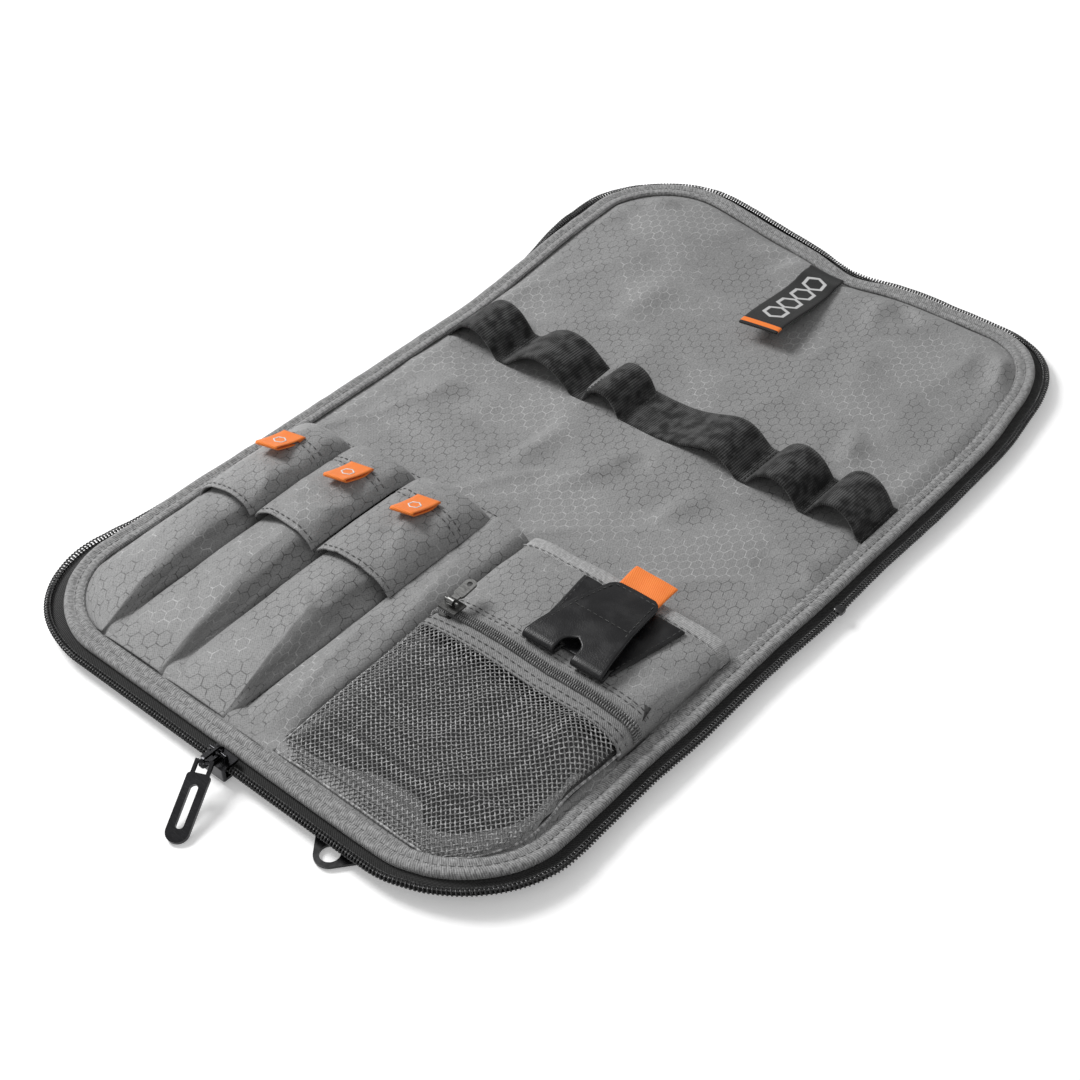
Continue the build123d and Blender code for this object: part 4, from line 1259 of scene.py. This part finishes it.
def zipped_pocket():
    edge = low("pocket_front_panel")[1]
    back = high("pocket_front_panel")[1]
    panel = Build()
    girth = front_strip(panel, edge, back, 34, 0.0)
    piece = panel.object("pocket_panel_cloth", LINING_CLOTH, "near_half", thickness=0.7, subdivide=1,
                         replaces=["pocket_front_panel", "pocket_gusset"], slot="lining")

    mouth = Build()
    t = np.linspace(0.0, 1.0, 90)
    section = np.array([(3.2, -0.8), (3.5, -0.1), (2.9, 0.5), (1.4, 0.75), (0.4, 0.6), (-0.6, 0.75),
                        (-2.3, 0.65), (-3.1, 0.2), (-3.0, -0.5), (0.2, -0.8)])
    middle = (low("pocket_mouth_binding")[1] + high("pocket_mouth_binding")[1]) / 2
    base = front_surface(t, np.full(90, back))
    y = middle + section[:, 0] + 0.4 * ripple(base[:, 0], 0 * t, 111, 30)[:, None]
    p = np.stack([np.broadcast_to(base[:, None, 0], y.shape), y, base[:, None, 2] + section[:, 1]], -1)
    uv = np.stack(np.meshgrid(lengths(base), np.arange(10) * 1.4, indexing="ij"), -1)
    mouth.grid(p[:, ::-1], uv[:, ::-1], round_j=True, caps=True)
    line = base + [0, middle - back - 2.4, 1.0]
    stitch(mouth, line[6:-6], slot=1)
    mouth.object("pocket_mouth_tape", [MOUTH_TAPE, THREAD], "near_half", replaces=["pocket_mouth_binding"],
                 slot="binding")

    tapes = Build()
    zip_low, zip_high = low("pocket_zip_tapes")[1], high("pocket_zip_tapes")[1]
    centre = (low("pocket_zip_coil")[1] + high("pocket_zip_coil")[1]) / 2
    girth = front_strip(tapes, zip_low - 0.6, zip_high + 0.6, 13, 0.0)
    piece = tapes.object("pocket_tapes_cloth", POCKET_TAPE, "near_half", thickness=0.5,
                         replaces=["pocket_zip_tapes"], slot="pocket_zip")

    trim = Build()
    trim_low, trim_high = low("pocket_mesh_trim")[1], high("pocket_mesh_trim")[1]
    girth = front_strip(trim, trim_low, trim_high, 7, 0.75)
    piece = trim.object("pocket_trim_tape", POCKET_TAPE, "near_half", thickness=0.6,
                        replaces=["pocket_mesh_trim"], slot="pocket_zip")

    rows = Build()
    for y in (trim_low + 1.0, trim_high - 1.0):
        stitch(rows, front_surface(t, np.full(90, y), 0.95)[4:-4])
    stitch(rows, front_surface(t, np.full(90, edge + 1.6), 0.05)[4:-4])
    stitch(rows, front_surface(t, np.full(90, edge + 3.4), 0.05)[4:-4])
    y = np.linspace(-178, -50, 60)
    stitch(rows, np.column_stack([low("pocket_gusset")[0] - 1.2 + 0 * y, y, LINING + 0.9 + 0 * y]))
    y = np.linspace(-180, -46, 60)
    stitch(rows, np.column_stack([low("pen_slot")[0] - 0.4 + 0 * y, y, LINING + 0.5 + 0 * y]))
    rows.object("pocket_stitches", SEAM_THREAD, "near_half", slot="pocket_zip")

    coil = Build()
    share = np.linspace(0.03, 0.985, 400)
    line = front_surface(share, np.full(400, centre))
    length = lengths(line)
    turns = int(length[-1] / POCKET_COIL_PITCH)
    turn = 2 * math.pi * np.linspace(0, turns, turns * 10 + 1)
    places = np.linspace(0, length[-1], len(turn))
    base = np.column_stack([np.interp(places, length, line[:, k]) for k in range(3)])
    along = np.gradient(base, axis=0)
    up = np.column_stack([-along[:, 2], 0 * turn, along[:, 0]])
    up /= np.linalg.norm(up, axis=1)[:, None]
    for side in (-1, 1):
        rise = (0.75 + 0.55 * np.sin(turn))[:, None] * up
        across = np.outer(side * 1.05 + 0.95 * np.cos(turn), [0, 1, 0])
        tube(coil, base + rise + across, POCKET_COIL_WIRE, sides=5)
    coil.object("pocket_coil_teeth", POCKET_COIL, "near_half", replaces=["pocket_zip_coil"],
                slot="pocket_coil")
    net_front()


NET_CELL = 2.25
NET_RADIUS, NET_KNOT = 0.30, 0.10  # a strand's radius, and what its knots add


def net_front():
    """The mesh: two families of strands crossing over the pocket's front, each a real thread."""
    net = Build()
    x0, x1 = front_span()
    y0, y1 = low("pocket_mesh")[1], high("pocket_mesh")[1] + 1.5
    x0, x1 = x0 + 0.6, x1 - 0.6
    for lean in (-1, 1):
        starts = np.arange(x0 - (y1 - y0), x1 + (y1 - y0), NET_CELL)
        for start in starts:
            y = np.arange(y0, y1, NET_CELL / 4)
            x = start + lean * (y - y0)
            keep = (x > x0) & (x < front_ends(y)[1] - 0.6)
            if keep.sum() < 5:
                continue
            x, y = x[keep], y[keep]
            sway = 0.22 * ripple(x, y, 106, 34)
            drift = 0.22 * ripple(x, y, 107, 30) * smooth(y0, y0 + 6, y)
            p = front_surface(pocket_share(x + sway, y), y + drift)
            phase = 2 * math.pi * (y - y0) / NET_CELL
            p[:, 2] += 0.16 * lean * np.cos(phase) + 0.1
            thick = NET_RADIUS + NET_KNOT * np.cos(phase * 2)
            tube(net, p, thick, sides=4, flat=0.6, caps=False)
    t = np.linspace(0.02, 0.98, 60)
    tube(net, front_surface(t, np.full(60, y0 + 0.4)), 0.5)
    y = np.linspace(y0, y1, 60)
    for share in (0.03, 0.97):
        tube(net, front_surface(np.full(60, share), y) + [0, 0, 0.2], 0.55)
    net.object("pocket_net", NET_YARN_AND_GLINTS, "near_half", replaces=["pocket_mesh"], slot="mesh")
    # the divider is the grey lining cloth painted dark: painted shade inside the pocket
    divider = Build()
    first, last = low("pocket_divider")[1], high("pocket_divider")[1]
    x0, x1 = low("pocket_divider")[0] + 0.8, high("pocket_divider")[0] - 0.8
    share, gy = np.meshgrid(np.linspace(0, 1, 50), np.linspace(first, last, 46), indexing="ij")
    gx = x0 + share * (np.minimum(x1, half_width(gy, BINDING_WIDTH + 1)) - x0)
    z = flow(gy, (-177, -150, -120, -99, -90.5), (0.5, 1.4, 2.6, 4.2, 9.6), 3.0)
    p = np.stack([gx, gy, LINING + z + 0.3 + 0.25 * ripple(gx, gy, 121, 24)], -1)
    piece = divider.grid(p).object("pocket_divider_cloth", SHADED_LINING_CLOTH, "near_half", thickness=0.5,
                                   replaces=["pocket_divider"], slot="lining")


# ---------------------------------------------------------------- keeper

KEEPER_HALF, KEEPER_TIP_HALF = 17.7, 10.6  # half the flap's width at its fold and at its tip
KEEPER_X = (low("keeper_flap")[0] + high("keeper_flap")[0]) / 2
KEEPER_TIP = high("keeper_flap")[1]
KEEPER_FOLD = -93.0
FOLD_Z = 20.0
FOLD_ROLL = 2.0
NOTCH_HALF = 4.2
NOTCH_END = -86.0


def keeper_path(n):
    """The flap's middle line from its tip to the fold and round it: places in y and z."""
    top = FOLD_Z + FOLD_ROLL - 0.6
    y = np.linspace(KEEPER_TIP, KEEPER_FOLD, n)
    z = flow(y, (KEEPER_FOLD, -88, -72, -60, KEEPER_TIP), (top, top + 0.9, top + 1.2, top - 0.6, 19.6), 3.0)
    turn = np.linspace(math.pi / 2, 3 * math.pi / 2, 15)[1:]
    roll = FOLD_ROLL - 0.6
    under_y, under_z = KEEPER_FOLD + roll * np.cos(turn), FOLD_Z + roll * np.sin(turn)
    tail_y = np.linspace(KEEPER_FOLD, KEEPER_FOLD + 5, 5)[1:]
    return np.concatenate([y, under_y, tail_y]), np.concatenate([z, under_z, 0 * tail_y + FOLD_Z - roll])


def keeper_half(y):
    """Half the flap's width, from the fold to the tip, with the tip's corners rounded."""
    places = (KEEPER_FOLD - 3, KEEPER_FOLD, KEEPER_TIP)
    base = flow(y, places, (KEEPER_HALF, KEEPER_HALF, KEEPER_TIP_HALF), 1.0)
    corner = np.clip((y - (KEEPER_TIP - 4)) / 4, 0, 1)
    return base - 3.6 * (1 - np.sqrt(1 - corner**2 * 0.96))


def keeper():
    y, z = keeper_path(44)
    share = np.linspace(0, 1, 18)
    build = Build()
    length = lengths(np.column_stack([y, z]))
    round_end = np.clip(y - (NOTCH_END - NOTCH_HALF), 0, NOTCH_HALF) / NOTCH_HALF
    notch = NOTCH_HALF * np.where(y < NOTCH_END, np.sqrt(np.clip(1 - round_end**2, 0, 1)), 0)
    half = keeper_half(y)
    for side in (-1, 1):
        wide = notch[None] + share[:, None] * (half - notch)[None]
        x = KEEPER_X + side * wide
        rise = 0.5 * (wide / half.max()) ** 2 * smooth(KEEPER_TIP - 22, KEEPER_TIP, y)[None]
        height = z[None] - rise + 0.15 * ripple(x, y[None], 131, 16)
        p = np.stack([x, np.broadcast_to(y, x.shape), height], -1)
        uv = np.stack([x, np.broadcast_to(length, x.shape)], -1)
        turned = slice(None) if side > 0 else slice(None, None, -1)
        build.grid(p[turned, ::-1], uv[turned, ::-1])
    piece = build.object("keeper_flap_leather", LEATHER, "keeper_flap", thickness=1.2, offset=0.0,
                         replaces=["keeper_flap"], slot="black_leather")
    weld = piece.modifiers.new("join_halves", "WELD")
    weld.merge_threshold = 0.01 * MM
    piece.modifiers.move(len(piece.modifiers) - 1, 0)
    wide, tapered = 2 * KEEPER_HALF, 0.82  # the flap narrows to its tip and is notched
    rows = Build()
    inner = np.arange(3, 42)
    for side in (-1, 1):
        path = np.column_stack([KEEPER_X + side * (half[inner] - 1.8), y[inner], z[inner] + 0.55])
        stitch(rows, path, **FINE_STITCH)
    tip = np.linspace(-1, 1, 20)
    tip_row = [KEEPER_X + tip * (half[3] - 1.8), 0 * tip + KEEPER_TIP - 1.9, 0 * tip + z[2] + 0.5]
    stitch(rows, np.column_stack(tip_row), **FINE_STITCH)
    cross = KEEPER_FOLD + 20
    z_cross = np.interp(-cross, -y[:44], z[:44])
    half_cross = float(keeper_half(np.array([cross]))[0])
    cross_row = [KEEPER_X + tip * (half_cross - 2), 0 * tip + cross, 0 * tip + z_cross + 0.62]
    stitch(rows, np.column_stack(cross_row), **FINE_STITCH)
    rows.object("keeper_stitches", DARK_THREAD, "keeper_flap", slot="black_leather")
    keeper_back_layer()
    keeper_pull()


def keeper_back_layer():
    a, b = low("keeper_back"), high("keeper_back")
    y = np.linspace(b[1], a[1], 30)
    share = np.linspace(-1, 1, 34)
    half = np.interp(y, (a[1], b[1]), (18.0, (b[0] - a[0]) / 2))
    x = KEEPER_X + share[:, None] * half[None]
    gy = np.broadcast_to(y, x.shape)
    surface = front_surface(pocket_share(x, gy), gy)[..., 2] + 0.75
    front = flow(gy, (a[1], a[1] + 10, b[1]), (FOLD_Z - 1.9, 17.6, 0), 1.0)
    z = np.maximum(surface, np.where(gy < a[1] + 10, front, surface))
    p = np.stack([x, gy, z], -1)
    piece = Build().grid(p[:, ::-1], p[:, ::-1, :2]).object(
        "keeper_back_leather", LEATHER, "near_half", thickness=1.0, offset=0.2, subdivide=1,
        replaces=["keeper_back"], slot="black_leather")
    rows = Build()
    for side in (-1, 1):
        path = np.column_stack([KEEPER_X + side * (half - 1.6), y, z[2 if side < 0 else -3] + 0.55])
        stitch(rows, path, **FINE_STITCH)
    rows.object("keeper_back_stitches", DARK_THREAD, "near_half", slot="black_leather")


def keeper_pull():
    """The orange ribbon behind the keeper's tip, standing out of it."""
    a, b = low("keeper_ribbon"), high("keeper_ribbon")
    y = np.linspace(a[1], b[1] + 1.5, 26)
    x = np.linspace(a[0], b[0], 14)
    gx, gy = np.meshgrid(x, y, indexing="ij")
    z = 18.2 + 1.1 * smooth(a[1] + 4, b[1], gy) + 0.35 * ripple(gx, gy, 141, 16)
    piece = Build().grid(np.stack([gx, gy, z], -1)).object(
        "keeper_pull_ribbon", RIBBON, "keeper_flap", thickness=1.0, offset=0.0, subdivide=1,
        replaces=["keeper_ribbon"], slot="orange_ribbon")


# ---------------------------------------------------------------- strap, label, hang tab

# where the strap is sewn down, each loop's rise, and where it is highest as a share of its width
STRAP_TACKS = (-107.6, -76.0, -32.8, -9.7, 51.0, 80.0, 107.6)
STRAP_RISES = (10.5, 11.5, 9.5, 8.5, 10.0, 11.0)
STRAP_CRESTS = (0.5, 0.5, 0.5, 0.74, 0.5, 0.5)
TACK_HALF = 1.5


def strap_path():
    """The elastic's middle line in x and z: down flat at each tack, a loop between each two."""
    points = []
    for k, (a, b, rise, crest) in enumerate(zip(STRAP_TACKS, STRAP_TACKS[1:], STRAP_RISES, STRAP_CRESTS)):
        start, end = a + (TACK_HALF if k else 0), b - TACK_HALF
        share = np.linspace(0, 1, 40)
        skewed = share ** (math.log(0.5) / math.log(crest))
        height = np.sin(math.pi * skewed) ** 1.5
        lean = 4.84 * np.sin(2 * math.pi * share) * rise / (b - a)
        x = start + share * (end - start) - lean
        points.append(np.column_stack([x, 0.8 + (rise - 0.6) * height]))
    points.append(np.array([[STRAP_TACKS[-1] + 0.5, 0.8]]))
    return np.vstack(points)


def elastic_strap():
    y0, y1 = low("elastic_strap")[1], high("elastic_strap")[1]
    path = strap_path()
    length = lengths(path)
    fine = np.linspace(0, length[-1], 420)
    x, z = np.interp(fine, length, path[:, 0]), np.interp(fine, length, path[:, 1])
    share = np.linspace(0, 1, 14)
    gx, gs = np.meshgrid(x, share, indexing="ij")
    bow = 1 - (2 * gs - 1) ** 2
    gz = LINING + z[:, None] + 0.45 * bow * smooth(1, 6, z)[:, None]
    gy = y0 + gs * (y1 - y0) + 0.7 * ripple(gx, 0 * gx, 151, 60)
    uv = np.stack([np.broadcast_to(fine[:, None], gx.shape), gs * (y1 - y0)], -1)
    build = Build().grid(np.stack([gx, gy, gz], -1), uv)
    piece = build.object("elastic_strap_cloth", ELASTIC, "far_half", thickness=1.2, offset=0.0,
                         replaces=["elastic_strap"], slot="elastic")
    rows = Build()
    for tack in STRAP_TACKS:
        for side in (-0.8, 0.8):
            y = np.linspace(y0 + 0.6, y1 - 0.6, 30)
            shift = {STRAP_TACKS[0]: 1.2, STRAP_TACKS[-1]: -1.2}.get(tack, 0)
            row = np.column_stack([tack + shift + side + 0 * y, y, LINING + 1.5 + 0 * y])
            stitch(rows, row, 1.6, 0.24, 2.1)
    rows.object("strap_tack_stitches", DARK_THREAD, "far_half", slot="elastic")


def woven_label():
    """A doubled label sewn in at the far edge; its free end stands up."""
    reach, wide, swing = 66.0, 19.0, math.radians(5.5)
    root = np.array([-5.5, 180.5])
    forward = np.array([math.sin(swing), -math.cos(swing)])
    across = np.array([-forward[1], forward[0]])
    u = np.linspace(0, reach, 60)
    v = np.linspace(-wide / 2, wide / 2, 16)
    gu, gv = np.meshgrid(u, v, indexing="ij")
    flat = root + gu[..., None] * forward + gv[..., None] * across
    lift = 1.0 + 7.2 * smooth(0.12, 1.0, gu / reach) ** 1.25 + 0.8 * bump(gu, 10, 5)
    lift = lift + 0.5 * gv / wide * gu / reach * 2
    edge_z = warp(np.concatenate([flat, 0 * gu[..., None]], -1))
    z = LINING + lift + edge_z[..., 2] - 0.9 * np.abs(2 * gv / wide) ** 3 * gu / reach * 0.3
    p = np.concatenate([edge_z[..., :2], z[..., None]], -1)
    piece = Build().grid(p[:, ::-1], np.stack([gu, gv], -1)[:, ::-1]).object(
        "label_cloth", LABEL, "far_half", thickness=1.3, offset=-1.0, subdivide=1,
        replaces=["woven_label"], slot="label")


def hang_tab_loop():
    """The webbing loop that holds the hang tab under the edge."""
    a, b = low("hang_tab_webbing"), high("hang_tab_webbing")
    turn = np.linspace(0, 2 * math.pi, 28, endpoint=False)
    y = -187.5 + 1.05 * np.cos(turn) * 1.3
    z = 1.25 + 1.05 * np.sin(turn)
    x = np.linspace(a[0], b[0], 18)
    gx, row = np.meshgrid(x, np.arange(len(turn)), indexing="ij")
    p = np.stack([gx, y[row], z[row]], -1)
    uv = np.stack([gx, turn[row] * 1.2], -1)
    build = Build().grid(p[::-1], uv[::-1], round_j=True)
    build.object("hang_tab_loop", WEBBING, "near_half", thickness=0.3, offset=0.0,
                 replaces=["hang_tab_webbing"], slot="webbing")


# ---------------------------------------------------------------- CAD nodes that stay

CAD_LOOKS = {
    "zip_slider": GUNMETAL,
    "zip_pull_ring": GUNMETAL,
    "zip_pull_tab": GUNMETAL,
    "pocket_zip_slider": SILVER,
    "pocket_zip_pull": SILVER,
    "hang_tab": BLACK_METAL,
    "keeper_snap_socket": SILVER,
    "keeper_snap_stud": SILVER,
}


def end_stops():
    """Moulded stops on the coil in the middle of each side."""
    build = Build()
    half_long = (high("zip_end_stops")[1] - low("zip_end_stops")[1]) / 2
    around = np.linspace(0, 2 * math.pi, 20, endpoint=False)
    for middle in (0.01, LOOP / 2):
        along = np.linspace(-1, 1, 9)
        s = (middle + half_long * along) % LOOP
        round_off = (1 - along**6 * 0.5)[:, None]
        wide = 2.1 * np.sign(np.cos(around)) * np.abs(np.cos(around)) ** 0.6 * round_off
        tall = 1.15 * np.sign(np.sin(around)) * np.abs(np.sin(around)) ** 0.6 * round_off
        build.grid(coil_points(s, wide, tall)[:, ::-1], None, round_j=True, caps=True)
    build.object("zip_stops", COIL_NYLON, "spine", replaces=["zip_end_stops"], slot="zip_coil")


def dress_cad():
    for node, material in CAD_LOOKS.items():
        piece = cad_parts[node]
        piece.data.materials.clear()
        piece.data.materials.append(material)
        edge = piece.modifiers.new("rounded_edges", "BEVEL")
        edge.width = 0.22 * MM
        edge.segments = 3
        edge.limit_method = "ANGLE"
        edge.harden_normals = False


place_camera()
studio()
shell_boards()
shell_lining()
shell_cover()
shell_foam()
shell_binding()
shell_zip()
cable_pockets()
flaps()
pen_slot()
zipped_pocket()
keeper()
elastic_strap()
woven_label()
hang_tab_loop()
end_stops()
dress_cad()
